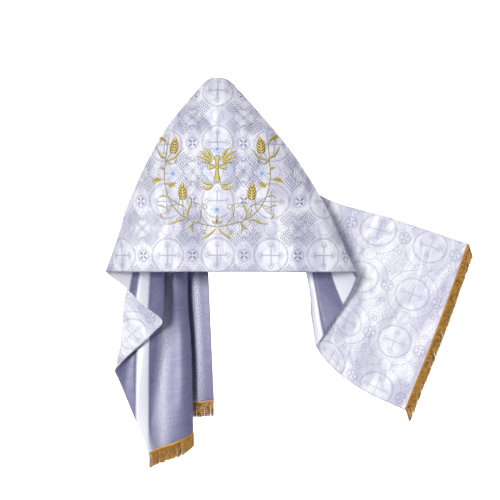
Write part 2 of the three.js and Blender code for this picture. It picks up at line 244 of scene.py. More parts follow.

# Soft creases in the cloth, placed on the flat cloth: from (u, v), to (u, v), bow, height
# and width. Below the neck and inside pleats they fade.
creases = (
    # back
    (-30, 560, -150, 330, 18, 2.6, 26),
    (26, 545, 118, 350, -14, -2.2, 24),
    (-8, 540, -40, 300, 8, -1.8, 30),
    (60, 470, 240, 210, 22, 2.4, 34),
    (-90, 440, -250, 180, -20, -2.4, 36),
    (-190, 330, -300, 60, 14, 2.6, 32),
    (150, 360, 330, 90, -18, -2.6, 34),
    (250, 300, 400, 60, 12, 2.8, 30),
    (-60, 230, -110, 20, 10, -1.8, 40),
    (40, 210, 70, 10, -12, 1.6, 44),
    (170, 150, 190, 0, 6, -1.8, 34),
    (-210, 140, -200, 0, -6, 2.0, 34),
    (310, 170, 320, 0, 8, 2.2, 30),
    (-320, 150, -330, 0, 8, -2.2, 28),
    # over the left arm and down the front
    (-150, 520, -400, 260, -26, 4.0, 34),
    (-170, 440, -470, 120, 24, -4.0, 36),
    (-420, 330, -560, 40, 14, 4.4, 32),
    (-520, 300, -640, 30, -12, -3.4, 30),
    (-700, 260, -760, 0, 8, 4.0, 30),
    (-760, 300, -850, 0, -10, -3.6, 28),
    (-600, 360, -960, 0, 20, 4.4, 36),
    (-660, 370, -1040, 20, 16, -4.6, 34),
    (-720, 380, -1110, 40, 10, 4.6, 34),
    (-780, 400, -1150, 90, -10, -3.4, 30),
    (-800, 430, -1180, 230, 12, 3.6, 28),
    (-780, 480, -1180, 430, 10, -4.2, 32),
    (-760, 520, -1180, 500, -8, 4.4, 30),
    (-700, 560, -1180, 560, 6, -2.6, 24),
    # over the right arm, round the fold and out to the held end
    (150, 520, 440, 240, 24, -3.8, 34),
    (200, 480, 560, 150, -22, 4.2, 36),
    (480, 330, 600, 40, -14, -3.8, 30),
    (560, 400, 700, 60, 12, 4.4, 32),
    (640, 380, 740, 50, -10, -3.6, 28),
    (330, 560, 800, 300, 16, 3.4, 34),
    (860, 560, 900, 60, 18, -3.4, 40),
    (960, 590, 1000, 120, -16, 3.6, 44),
    (1050, 500, 1080, 10, 12, -3.0, 40),
    (1130, 560, 1140, 60, -8, 2.6, 34),
    (740, 560, 860, 420, 14, 3.0, 30),
)

# Folds that run down the generators, where the satin catches the light, painted into its colour as
# highlight bands: from w to w, how soft their sides are, from r to r, how far they swell towards the
# lining, the strength of their painted highlight, and how far they drift sideways in w over the
# whole fall.
streakColumns = ("from", "to", "soft", "rFrom", "rTo", "height", "tone", "lean")
streaks = (
    (-1152, -1032, 20, 0.3, 1.3, 3.5, 0.9, -300),
    (-1270, -1215, 34, 0.3, 1.3, 2.0, 0.4, 0),
    (-905, -870, 20, 0.3, 1.3, 1.5, 0.4, 0),
    (-602, -556, 9, 0.3, 1.3, 3.0, 1.0, 0),
    (-520, -400, 8, 0.35, 1.3, 3.0, 1.0, 0),
    (-300, -230, 34, 0.3, 1.3, 0.0, 0.35, 0),
    (-120, -60, 30, 0.2, 1.1, 0.0, 0.4, 0),
    (40, 150, 44, 0.3, 1.3, 0.0, 0.35, 0),
    (240, 320, 34, 0.2, 1.1, 0.0, 0.4, 0),
    (490, 606, 7, 0.86, 1.3, 2.0, 1.0, 0),
    (728, 770, 10, 0.4, 1.4, 3.0, 1.0, 0),
    (850, 900, 30, 0.3, 1.3, 1.5, 0.45, 0),
    (960, 1040, 44, 0.2, 1.2, 0.0, 0.3, 0),
    (1095, 1130, 26, 0.3, 1.1, 0.0, 0.4, 0),
    (-1430, -1385, 26, 0.3, 1.3, 2.0, 0.45, 0),
    (-1530, -1480, 24, 0.3, 1.3, 2.0, 0.35, 0),
    (-1650, -1600, 26, 0.3, 1.3, 1.5, 0.45, 0),
    (-1770, -1725, 24, 0.3, 1.3, 1.5, 0.35, 0),
)


streakSides = {
    "wave": 9,  # their sides swing this far to and fro
    "waveLength": 140,  # of fall, for one radian of the swing
    "leanFrom": 0.8,  # the share of the fall where a leaning streak keeps its place
    "start": 0.3,  # they grow over this share of the fall at most
    "end": 0.3,  # and fade over this one
}


def streakSum(wAt, rAt, lengths, column):
    # each streak is a soft-sided band in w and r; the bands add up, weighted by the named column
    total = np.zeros(np.broadcast(wAt, rAt).shape)
    for values in streaks:
        streak = dict(zip(streakColumns, values))
        low, high, soft = streak["from"], streak["to"], streak["soft"]
        swing = streakSides["wave"] * np.sin(lengths / streakSides["waveLength"] + low)
        drifted = wAt + swing - streak["lean"] * (rAt - streakSides["leanFrom"])
        band = smoothStep(low - soft, low + soft, drifted)
        band = band * smoothStep(high + soft, high - soft, drifted)
        rFrom, rTo = streak["rFrom"], streak["rTo"]
        start = min(streakSides["start"], (1 - rFrom) * 0.6)
        band = band * smoothStep(rFrom - start, rFrom + start * 0.4, rAt)
        band = band * smoothStep(rTo, rTo - streakSides["end"], rAt)
        total += band * streak[column]
    return total


def creaseHeight(u, v):
    # sum of ridges: height * exp(-(distance to the bowed line / width)^2), faded at both ends
    total = np.zeros(np.shape(u))
    for u0, v0, u1, v1, bow, height, width in creases:
        length = np.hypot(u1 - u0, v1 - v0)
        du, dv = (u1 - u0) / length, (v1 - v0) / length
        t = ((u - u0) * du + (v - v0) * dv) / length
        across = (v - v0) * du - (u - u0) * dv - bow * 4 * t * (1 - t)
        fade = smoothStep(-0.12, 0.3, t) * smoothStep(1.12, 0.75, t)
        total += height * np.exp(-((across / width) ** 2)) * fade
    return total


def edgeRefined(values, edgeSteps):
    # a rising list with extra values near both its ends
    extra = [values[0] + s for s in edgeSteps] + [values[-1] - s for s in edgeSteps]
    return np.unique(np.concatenate([values, extra]))


def gridColumns():
    # even columns inside each span of the tables, no wider than the step
    places = []
    for side, sign in (("left", -1), ("right", 1)):
        knots = drapes[side]["place"]
        for a, b in zip(knots[:-1], knots[1:]):
            count = max(veil["leastColumns"], int(np.ceil((b - a) / veil["columnStep"])))
            places.append(sign * np.linspace(a, b, count + 1))
    return edgeRefined(np.unique(np.round(np.concatenate(places), 6)), veil["edgeSteps"])


# The grid: columns follow w and rows follow r. Each generator's own length turns millimetres from
# the edges into r.
w = gridColumns()
rowShares = np.linspace(0, 1, veil["rowCount"] + 1) ** veil["rowSpread"]
fineShares = np.linspace(0, 1, 241)  # close enough to measure a generator's length
fine = clothPoint(w[:, None], fineShares[None, :])
fineLength = np.linalg.norm(np.diff(fine, axis=1), axis=2).cumsum(axis=1)
fineLength = np.concatenate([np.zeros((len(w), 1)), fineLength], axis=1)
generatorLength = fineLength[:, -1]
meanLength = generatorLength.mean()
rowShares = edgeRefined(rowShares, [s / meanLength for s in veil["edgeSteps"]])
gridLength = np.stack([np.interp(rowShares, fineShares, row) for row in fineLength])
smoothSurface = clothPoint(w[:, None], rowShares[None, :])
lengthShare = gridLength / generatorLength[:, None]
neckFlat, alongFlat, upFlat = flatEnds(w)
flatU = neckFlat[:, None] + (alongFlat - neckFlat)[:, None] * lengthShare
flatV = veil["width"] + (upFlat - veil["width"])[:, None] * lengthShare


def unitNormals(points, wStep, rStep):
    # the cross product of the slopes down and along the grid, made one long
    down = np.gradient(points, rStep, axis=1)
    along = np.gradient(points, wStep, axis=0)
    return unit(np.cross(down, along))


# Creases die out towards the neck edge, and sooner where the left end's pleats lie close together.
creaseFade = {"neck": (20, 190), "pleats": (60, 420), "pleatsFrom": "overArm"}
smoothNormals = unitNormals(smoothSurface, w, rowShares)
neckFade = smoothStep(*creaseFade["neck"], gridLength)
pleatStart = drapes["left"]["place"][list(leftDrape).index(creaseFade["pleatsFrom"])]
pleatFade = smoothStep(*creaseFade["pleats"], gridLength)
pleatRoom = np.where((w < -pleatStart)[:, None], pleatFade, 1)
crease = creaseHeight(flatU, flatV) - streakSum(w[:, None], rowShares, gridLength, "height")
crease = crease * neckFade * pleatRoom
# the satin's painted highlight along the streaks, from 0 to 1
paintedHighlightTone = np.clip(streakSum(w[:, None], rowShares, gridLength, "tone"), 0, 1)
clothSurface = smoothSurface + smoothNormals * crease[..., None]
clothNormals = smoothNormals
print("surface grid", len(w), "x", len(rowShares))


def onCloth(wAt, rAt, table):
    # a value of the grid between its four nearest corners, weighted by closeness
    i = np.clip(np.searchsorted(w, wAt) - 1, 0, len(w) - 2)
    j = np.clip(np.searchsorted(rowShares, rAt) - 1, 0, len(rowShares) - 2)
    a = ((wAt - w[i]) / (w[i + 1] - w[i]))[..., None]
    b = ((rAt - rowShares[j]) / (rowShares[j + 1] - rowShares[j]))[..., None]
    near = table[i, j] * (1 - b) + table[i, j + 1] * b
    return near * (1 - a) + (table[i + 1, j] * (1 - b) + table[i + 1, j + 1] * b) * a


def backPlace(x, z):
    # where the cloth of the back has the given x and z: Newton steps on (w, r), whose slopes are
    # taken over a small stretch of each
    stretchW, stretchR, rounds = 0.5, 0.001, 12
    wAt = np.array(x, float)
    rAt = np.clip(-np.array(z, float) / veil["width"], 0.05, 0.98)
    for _ in range(rounds):
        here = clothPoint(wAt, rAt)
        slopeW = (clothPoint(wAt + stretchW, rAt) - here) / stretchW
        slopeR = (clothPoint(wAt, rAt + stretchR) - here) / stretchR
        xw, zw = slopeW[..., 0], slopeW[..., 2]
        xr, zr = slopeR[..., 0], slopeR[..., 2]
        missX, missZ = x - here[..., 0], z - here[..., 2]
        det = xw * zr - xr * zw
        wAt = wAt + np.clip((missX * zr - missZ * xr) / det, -80, 80)
        rAt = np.clip(rAt + np.clip((missZ * xw - missX * zw) / det, -0.2, 0.2), 0.004, 0.999)
    return wAt, rAt


def makeObject(name, points, faces, material, uv=None, smooth=True):
    # points, and one uv for each, come in millimetres and are kept in metres; the uv runs over the
    # flat cloth or along a thread
    mesh = bpy.data.meshes.new(name)
    mesh.from_pydata((np.asarray(points) * metre).tolist(), [], faces)
    if uv is not None:
        layer = mesh.uv_layers.new(name="clothMap")
        corners = np.empty(len(mesh.loops), np.int32)
        mesh.loops.foreach_get("vertex_index", corners)
        layer.data.foreach_set("uv", (np.asarray(uv)[corners] * metre).astype(np.float32).ravel())
    mesh.polygons.foreach_set("use_smooth", np.full(len(mesh.polygons), smooth))
    mesh.update()
    piece = bpy.data.objects.new(name, mesh)
    bpy.context.scene.collection.objects.link(piece)
    mesh.materials.append(material)
    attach(piece, "root")
    return piece


def gridFaces(columns, depth, start=0, closed=False):
    # the quads of a grid whose points are numbered down each column; closed joins the last row
    # back to the first
    i, j = np.meshgrid(np.arange(columns - 1), np.arange(depth if closed else depth - 1), indexing="ij")
    n = (j + 1) % depth
    quads = np.stack([i * depth + j, i * depth + n, (i + 1) * depth + n, (i + 1) * depth + j], -1)
    return quads.reshape(-1, 4) + start


def wallMesh(outer, inner):
    # a closed wall: the outer grid, the inner grid turned round, and quads round the rim
    columns, depth = outer.shape[:2]
    count = columns * depth
    faces = [gridFaces(columns, depth), gridFaces(columns, depth, count)[:, ::-1]]
    at = np.arange(count).reshape(columns, depth)
    rim = np.concatenate([at[0, :-1], at[:-1, -1], at[-1, :0:-1], at[:0:-1, 0]])
    after = np.roll(rim, -1)
    faces.append(np.stack([rim, rim + count, after + count, after], -1))
    points = np.concatenate([outer.reshape(-1, 3), inner.reshape(-1, 3)])
    return points, np.concatenate(faces).tolist()


class Shader:
    # a node tree with short calls: each returns the socket that the next one takes
    def __init__(self, tree):
        self.tree = tree

    def node(self, kind, inputs=(), **settings):
        # a new node; an input that is a socket is linked, and any other is set
        node = self.tree.nodes.new(kind)
        for name, value in settings.items():
            setattr(node, name, value)
        for key, value in dict(inputs).items():
            if isinstance(value, bpy.types.NodeSocket):
                self.tree.links.new(value, node.inputs[key])
            else:
                node.inputs[key].default_value = value
        return node

    def math(self, operation, *values):
        # one arithmetic node
        return self.node("ShaderNodeMath", dict(enumerate(values)), operation=operation).outputs[0]

    def ramp(self, value, low, high, toLow=0.0, toHigh=1.0):
        # from toLow to toHigh on a smooth step, as the value goes from low to high
        inputs = {0: value, 1: low, 2: high, 3: toLow, 4: toHigh}
        return self.node("ShaderNodeMapRange", inputs, interpolation_type="SMOOTHSTEP").outputs[0]

    def mix(self, factor, a, b, blend="MIX"):
        # colour a, blended with b by the factor
        inputs = {0: factor, 6: a, 7: b}
        return self.node("ShaderNodeMix", inputs, data_type="RGBA", blend_type=blend).outputs[2]

    def noise(self, vector, scale, detail=2.0, roughness=0.5, distortion=0.0):
        # cloudy noise about 0.5, with scale cells to the unit
        inputs = {
            "Vector": vector, "Scale": scale, "Detail": detail,
            "Roughness": roughness, "Distortion": distortion,
        }
        return self.node("ShaderNodeTexNoise", inputs).outputs[0]

    def distance(self, x, y, cx=0.0, cy=0.0):
        # length of (x - cx, y - cy)
        dx, dy = self.minus(x, cx), self.minus(y, cy)
        both = self.node("ShaderNodeCombineXYZ", {0: dx, 1: dy}).outputs[0]
        return self.node("ShaderNodeVectorMath", {0: both}, operation="LENGTH").outputs["Value"]

    def below(self, value, limit, soft=0.8):
        # 1 where the value is under the limit, 0 over it, and soft between
        return self.ramp(value, limit - soft, limit + soft, 1.0, 0.0)

    def line(self, value, at, half, soft=0.7):
        # a line where the value is near at
        return self.below(self.math("ABSOLUTE", self.minus(value, at)), half, soft)

    def most(self, *values):
        # the largest of the values
        total = values[0]
        for value in values[1:]:
            total = self.math("MAXIMUM", total, value)
        return total

    def times(self, *values):
        # the product of the values
        total = values[0]
        for value in values[1:]:
            total = self.math("MULTIPLY", total, value)
        return total

    def plus(self, a, b):
        # a + b
        return self.math("ADD", a, b)

    def minus(self, a, b):
        # a - b
        return self.math("SUBTRACT", a, b)


def newGroup(name, inputs, outputs):
    # an empty node group with float or colour sockets, and its shader helper
    tree = bpy.data.node_groups.new(name, "ShaderNodeTree")
    for label, kind in inputs:
        tree.interface.new_socket(label, in_out="INPUT", socket_type=kind)
    for label in outputs:
        tree.interface.new_socket(label, in_out="OUTPUT", socket_type="NodeSocketFloat")
    shader = Shader(tree)
    return shader, shader.node("NodeGroupInput").outputs, shader.node("NodeGroupOutput").inputs


damask = {
    "pitch": 163.0,  # from one medallion to the next, both ways
    "firstRow": 50.0,  # lowest row's height over the hem
    "ringInner": 49.0,
    "ringOuter": 52.6,
    "bandRing": 77.0,
    "crossArm": (1.9, 30.0),  # half width, and length from the medallion's middle
    "crossTip": (35.0, 4.2, 4.6),  # its end lobe: distance out, radius, and radius of its line
    "crossLobe": (29.0, 5.4, 3.6, 3.9),  # the side lobes: distance out and aside, and the radii
    "rosette": 18.5,
    "rosetteInner": 14.5,
    "petal": (9.0, 6.2, 2.5),  # distance of its middle, half length, half width
    "knot": 20.0,
    "flower": (15.0, 12.5, 4.0),  # its petals, in the same way
    "diamond": (33.0, 8.0),  # distance from the flower's middle, and size
    "hatch": 9.6,  # from one hatched stripe to the next
    "hatchHalf": 31.0,  # half the length of the stripes
    "zigzag": (7.75, 0.5),  # length of one side of it along the stripe, and its slope
    "onBack": (560.0, 680.0),  # the hatching fades out here; the ends show the ring bands
}


def damaskGroup():
    # Masks of the woven pattern from the flat cloth's coordinates. Folding the coordinates at the
    # medallions' lines turns the whole cloth into one quarter of a medallion's cell.
    s, given, out = newGroup(
        "damaskWeave", [("Flat", "NodeSocketVector")], ["Line", "Satin", "Hatch", "Speckle", "Relief"]
    )
    half = damask["pitch"] / 2
    flat = s.node("ShaderNodeSeparateXYZ", {0: given["Flat"]}).outputs
    u = s.times(flat[0], 1000.0)
    v = s.minus(s.times(flat[1], 1000.0), damask["firstRow"])
    x, y = s.math("PINGPONG", u, half), s.math("PINGPONG", v, half)
    radius = s.distance(x, y)
    # cross with three-lobed ends, the same on all four arms
    long, short = s.math("MAXIMUM", x, y), s.math("MINIMUM", x, y)
    armHalf, armLength = damask["crossArm"]
    tipOut, tipRadius, tipLine = damask["crossTip"]
    lobeOut, lobeAside, lobeRadius, lobeLine = damask["crossLobe"]
    arm = s.times(s.below(short, armHalf), s.below(long, armLength))
    tip = s.distance(long, short, tipOut, 0.0)
    lobe = s.distance(long, short, lobeOut, lobeAside)
    cross = s.most(arm, s.below(tip, tipRadius), s.below(lobe, lobeRadius))
    crossLine = s.most(s.line(tip, tipLine, 0.7), s.line(lobe, lobeLine, 0.7))
    # rosette between two medallions of a row: a circle with four petals
    px, py = s.minus(half, x), s.minus(half, y)
    toRosette = s.distance(px, y)
    petals = ellipseMask(s, px, y, *damask["petal"])
    # plain disc between two medallions of a column
    toKnot = s.distance(x, py)
    # flower of four petals in the middle of four medallions, with a small diamond above and below
    flower = ellipseMask(s, px, py, *damask["flower"])
    flowerLine = s.line(ellipseDistance(s, px, py, *damask["flower"]), 1.0, 0.16, 0.1)
    diamondOut, diamondSize = damask["diamond"]
    diamond = s.plus(px, s.math("ABSOLUTE", s.minus(py, diamondOut)))
    # the back is hatched and has the stronger lines; the ends show the ring bands more
    onBack = s.ramp(s.math("ABSOLUTE", u), *damask["onBack"], 1.0, 0.0)

    def byPlace(ends, back):
        # one weight on the ends and another on the back
        return s.ramp(onBack, 0.0, 1.0, ends, back)

    # outlines
    clear = s.times(
        s.ramp(toRosette, damask["rosette"], damask["rosette"] + 2),
        s.ramp(toKnot, damask["knot"], damask["knot"] + 2),
    )
    rings = s.most(s.line(radius, damask["ringInner"], 0.5), s.line(radius, damask["ringOuter"], 0.7))
    band = s.times(s.line(radius, damask["bandRing"], 0.7), clear, byPlace(1.0, 0.4))
    small = s.most(
        s.line(toRosette, damask["rosette"], 0.9),
        s.line(toRosette, damask["rosetteInner"], 0.5),
        s.line(toKnot, damask["knot"], 0.5),
        s.line(diamond, diamondSize, 0.9),
    )
    marks = s.most(
        s.times(rings, byPlace(0.5, 0.66)),
        s.times(band, 0.5),
        s.times(small, 0.65),
        s.times(crossLine, byPlace(0.5, 0.8)),
        s.times(arm, byPlace(0.35, 0.55)),
        s.times(petals, byPlace(0.5, 1.0)),
        s.times(flower, onBack, 0.15),
        s.times(flowerLine, onBack, 0.65),
    )
    s.tree.links.new(marks, out["Line"])
    # smooth satin grounds: medallion, ring band and disc
    inside = s.below(radius, damask["ringInner"] - 1)
    ringBand = s.times(s.below(radius, damask["bandRing"] - 2), s.ramp(radius, 54.0, 56.0))
    knotDisc = s.below(toKnot, damask["knot"] - 1)
    satin = s.most(inside, s.times(ringBand, 0.6), knotDisc)
    s.tree.links.new(satin, out["Satin"])
    # zigzag stripes on the slant between the medallions
    slant = s.plus(x, y)
    step = s.minus(x, y)
    sideLength, sideSlope = damask["zigzag"]
    zigzag = s.times(s.math("PINGPONG", step, sideLength), sideSlope)
    stripe = s.math("PINGPONG", s.plus(slant, zigzag), damask["hatch"] / 2)
    hatching = s.times(
        s.below(stripe, damask["hatch"] * 0.22, 0.5),
        s.below(s.math("ABSOLUTE", step), damask["hatchHalf"], 1.5),
        s.ramp(slant, 80.0, 84.0),
        s.minus(1.0, s.below(toRosette, 20.0)),
        s.minus(1.0, s.below(s.distance(px, py), 24.0)),
        onBack,
    )
    s.tree.links.new(hatching, out["Hatch"])
    # stippling of the ground, and the height of the weave with its warp and weft
    stipple = s.ramp(s.noise(given["Flat"], 260.0, 1.0), 0.45, 0.6)
    ground = s.minus(1.0, s.times(satin, 0.75))
    s.tree.links.new(s.times(stipple, ground), out["Speckle"])
    warp = s.math("SINE", s.times(u, 5.2))
    weft = s.math("SINE", s.times(v, 4.1))
    relief = s.plus(s.times(s.most(cross, petals), 0.5), s.times(satin, 0.35))
    relief = s.minus(relief, s.times(s.most(rings, band, small), 0.6))
    relief = s.plus(relief, s.times(s.times(warp, weft), 0.12))
    relief = s.plus(relief, s.times(stipple, ground, 0.5))
    s.tree.links.new(s.plus(relief, s.times(hatching, 0.4)), out["Relief"])
    return s.tree


def ellipseDistance(s, x, y, along, halfLength, halfWidth):
    # root of (a / length)^2 + (b / width)^2 about a point on the diagonal of the positive quarter,
    # where a runs along the diagonal and b across it
    diagonal = math.sqrt(0.5)
    a = s.times(s.plus(x, y), diagonal)
    b = s.times(s.minus(x, y), diagonal)
    a = s.math("DIVIDE", s.minus(a, along), halfLength)
    b = s.math("DIVIDE", b, halfWidth)
    return s.distance(a, b)


def ellipseMask(s, x, y, along, halfLength, halfWidth):
    # inside the ellipse, where that root is below 1
    return s.below(ellipseDistance(s, x, y, along, halfLength, halfWidth), 1.0, 0.16)


def paintedSheenAndFleckGroup():
    # painted sheen: cloudy patches of painted highlight and painted shade, standing for the light on a
    # lustrous cloth and drawn out on the slant; and finer flecks
    s, given, out = newGroup(
        "paintedSheenAndFlecks", [("Flat", "NodeSocketVector"), ("Scale", "NodeSocketFloat")], ["Cloud", "Fleck"]
    )
    slant = {"Vector": given["Flat"], "Rotation": (0, 0, 0.9), "Scale": (1.5, 0.6, 1)}
    drawn = s.node("ShaderNodeMapping", slant)
    paintedSheenTone = s.noise(drawn.outputs[0], given["Scale"], 3.5, 0.6, 0.9)
    s.tree.links.new(s.ramp(paintedSheenTone, 0.34, 0.66), out["Cloud"])
    fleck = s.noise(given["Flat"], s.times(given["Scale"], 9.0), 2.0)
    s.tree.links.new(s.ramp(fleck, 0.3, 0.7), out["Fleck"])
    return s.tree


def threadGroup():
    # stripes of single threads laid across a stitched shape or round a cord
    s, given, out = newGroup(
        "threadStripes",
        [("Along", "NodeSocketVector"), ("Pitch", "NodeSocketFloat"), ("Slant", "NodeSocketFloat"),
         ("Width", "NodeSocketFloat"), ("Mottle", "NodeSocketFloat")],
        ["Groove", "Mottling"],
    )
    flat = s.node("ShaderNodeSeparateXYZ", {0: given["Along"]}).outputs
    turned = s.plus(flat[0], s.times(flat[1], given["Slant"]))
    phase = s.math("DIVIDE", turned, given["Pitch"])
    stripe = s.math("PINGPONG", phase, 0.5)
    s.tree.links.new(s.ramp(stripe, 0.02, given["Width"]), out["Groove"])
    s.tree.links.new(s.noise(given["Along"], given["Mottle"], 2.0), out["Mottling"])
    return s.tree


damaskTree, paintedSheenAndFleckTree, threadTree = damaskGroup(), paintedSheenAndFleckGroup(), threadGroup()


def srgb(red, green, blue):
    # a colour given as 0 to 255 in the picture, as the renderer's linear values
    c = np.array([red, green, blue]) / 255
    linear = np.where(c <= 0.04045, c / 12.92, ((c + 0.055) / 1.055) ** 2.4)
    return (*linear.tolist(), 1.0)


def newMaterial(name):
    # a material with its shader helper and its main shader
    material = bpy.data.materials.new(name)
    material.use_nodes = True
    shader = Shader(material.node_tree)
    return material, shader, material.node_tree.nodes["Principled BSDF"]


def clothMap(s):
    # the piece's own map: the flat cloth's (u, v), or length along and round a thread
    return s.node("ShaderNodeUVMap", uv_map="clothMap").outputs[0]


def bump(s, height, strength, distance):
    # the normal tilted by the slope of the height
    inputs = {"Strength": strength, "Distance": distance, "Height": height}
    return s.node("ShaderNodeBump", inputs).outputs[0]


brocadeLook = {
    "ground": srgb(246, 246, 250),
    "line": srgb(124, 126, 166),
    "satin": srgb(245, 245, 249),
    # the next two colours paint sheen: soft patches of painted shade and painted highlight
    "paintedSheenShade": srgb(202, 202, 219),
    "paintedSheenHighlight": srgb(255, 255, 255),
    # painted shade along the turn of the hem
    "paintedHemShade": srgb(84, 86, 128),
    "paintedSheenScale": 11.0,
    # how strongly each part of the pattern, the painted sheen and the hem's painted shade take
    # their own colour
    "satinShare": 0.8,
    "speckleShare": 0.34,
    "hatchShare": 0.66,
    "lineShare": 0.9,
    "paintedSheenShare": 0.85,
    "paintedHemShadeShare": 0.75,
    "roughness": 0.4,
    "relief": (0.7, 0.0011),  # strength, and height in metres
    "sheen": (0.12, 0.4),  # weight and roughness
}


def brocadeMaterial():
    # the ground's colour, mixed in turn with those of the satin figures, the speckle, the hatching
    # and the lines, times the painted sheen patches, and darkened along the turned hem by painted shade
    material, s, bsdf = newMaterial("whiteBrocade")
    look = brocadeLook
    flat = clothMap(s)
    weave = s.node("ShaderNodeGroup", node_tree=damaskTree)
    s.tree.links.new(flat, weave.inputs["Flat"])
    paintedSheenAndFleckNode = s.node("ShaderNodeGroup", node_tree=paintedSheenAndFleckTree)
    s.tree.links.new(flat, paintedSheenAndFleckNode.inputs["Flat"])
    paintedSheenAndFleckNode.inputs["Scale"].default_value = look["paintedSheenScale"]
    woven = weave.outputs
    colour = s.mix(s.times(woven["Satin"], look["satinShare"]), look["ground"], look["satin"])
    colour = s.mix(s.times(woven["Speckle"], look["speckleShare"]), colour, look["line"])
    colour = s.mix(s.times(woven["Hatch"], look["hatchShare"]), colour, look["line"])
    colour = s.mix(s.times(woven["Line"], look["lineShare"]), colour, look["line"])
    # painted sheen: soft patches of painted shade and painted highlight multiply the colour
    paintedSheenTone = s.mix(paintedSheenAndFleckNode.outputs["Cloud"], look["paintedSheenShade"], look["paintedSheenHighlight"])
    colour = s.mix(look["paintedSheenShare"], colour, paintedSheenTone, "MULTIPLY")
    # painted shade darkens the brocade along the turn of the hem
    turn = s.node("ShaderNodeAttribute", attribute_name="paintedHemShade").outputs["Fac"]
    colour = s.mix(s.times(turn, look["paintedHemShadeShare"]), colour, look["paintedHemShade"])
    s.tree.links.new(colour, bsdf.inputs["Base Color"])
    rough = s.plus(look["roughness"], s.times(woven["Speckle"], 0.2))
    rough = s.plus(rough, s.times(woven["Line"], 0.15))
    s.tree.links.new(rough, bsdf.inputs["Roughness"])
    s.tree.links.new(bump(s, woven["Relief"], *look["relief"]), bsdf.inputs["Normal"])
    weight, roughness = look["sheen"]
    bsdf.inputs["Sheen Weight"].default_value = weight
    bsdf.inputs["Sheen Roughness"].default_value = roughness
    return material


satinLook = {
    # dark is the satin's colour in painted shade, light its painted highlight
    "dark": srgb(102, 102, 136),
    "light": srgb(233, 233, 241),
    "roughness": (0.36, 0.46),
    "paintedSheenScale": 32.0,
    "paintedSheenShare": 0.05,
    "grainScale": 300.0,
    "grainShare": 0.16,
    "fleckShare": 0.04,
    "yarnWave": 4200.0,  # radians for each metre across the yarn
    "yarnRelief": (0.12, 0.0002),
    "metallic": 0.1,
}


def satinMaterial():
    # satin whose dark colour is painted shade and whose light colour is a painted highlight, laid
    # where the streaks' painted highlight is high, with a faint painted sheen; flecks roughen the
    # streaks' sides, and a fine grain darkens the light parts
    material, s, bsdf = newMaterial("blueGreySatin")
    look = satinLook
    flat = clothMap(s)
    paintedHighlight = s.node("ShaderNodeAttribute", attribute_name="paintedHighlight").outputs["Fac"]
    paintedSheenAndFleckNode = s.node("ShaderNodeGroup", node_tree=paintedSheenAndFleckTree)
    s.tree.links.new(flat, paintedSheenAndFleckNode.inputs["Flat"])
    paintedSheenAndFleckNode.inputs["Scale"].default_value = look["paintedSheenScale"]
    side = s.times(s.minus(paintedSheenAndFleckNode.outputs["Fleck"], 0.5), 0.3)
    lit = s.ramp(s.plus(paintedHighlight, s.times(side, s.ramp(paintedHighlight, 0.02, 0.2))), 0.12, 0.88)
    lit = s.math("MAXIMUM", lit, s.times(paintedSheenAndFleckNode.outputs["Cloud"], look["paintedSheenShare"]))
    colour = s.mix(lit, look["dark"], look["light"])
    grain = s.ramp(s.noise(flat, look["grainScale"], 1.0), 0.35, 0.65)
    grain = s.times(grain, s.ramp(lit, 0.1, 0.6), look["grainShare"])
    darker = s.plus(grain, s.times(paintedSheenAndFleckNode.outputs["Fleck"], look["fleckShare"]))
    colour = s.mix(darker, colour, look["dark"])
    s.tree.links.new(colour, bsdf.inputs["Base Color"])
    rough = s.ramp(paintedSheenAndFleckNode.outputs["Fleck"], 0.0, 1.0, *look["roughness"])
    s.tree.links.new(rough, bsdf.inputs["Roughness"])
    across = s.node("ShaderNodeSeparateXYZ", {0: flat}).outputs[1]
    yarn = s.math("SINE", s.times(across, look["yarnWave"]))
    s.tree.links.new(bump(s, yarn, *look["yarnRelief"]), bsdf.inputs["Normal"])
    bsdf.inputs["Metallic"].default_value = look["metallic"]
    return material


def threadMaterial(
    name, light, dark, pitch, slant, metallic, roughness, groove=0.26, mottleFloor=0.55, mottle=240
):
    # shiny thread: painted shade darkens the grooves between the threads, and a noise mottles them
    material, s, bsdf = newMaterial(name)
    along = clothMap(s)
    stripes = s.node("ShaderNodeGroup", node_tree=threadTree)
    s.tree.links.new(along, stripes.inputs["Along"])
    stripes.inputs["Pitch"].default_value = pitch * metre
    stripes.inputs["Slant"].default_value = slant
    stripes.inputs["Width"].default_value = groove
    stripes.inputs["Mottle"].default_value = mottle
    tone = s.times(stripes.outputs["Groove"], s.ramp(stripes.outputs["Mottling"], 0.3, 0.6, mottleFloor, 1.0))
    # painted shade: the dark colour fills the grooves between the threads
    colour = s.mix(tone, srgb(*dark), srgb(*light))
    s.tree.links.new(colour, bsdf.inputs["Base Color"])
    rough = s.ramp(stripes.outputs["Mottling"], 0.2, 0.8, roughness - 0.08, roughness + 0.1)
    s.tree.links.new(rough, bsdf.inputs["Roughness"])
    s.tree.links.new(bump(s, stripes.outputs["Groove"], 0.6, 0.0003), bsdf.inputs["Normal"])
    bsdf.inputs["Metallic"].default_value = metallic
    return material


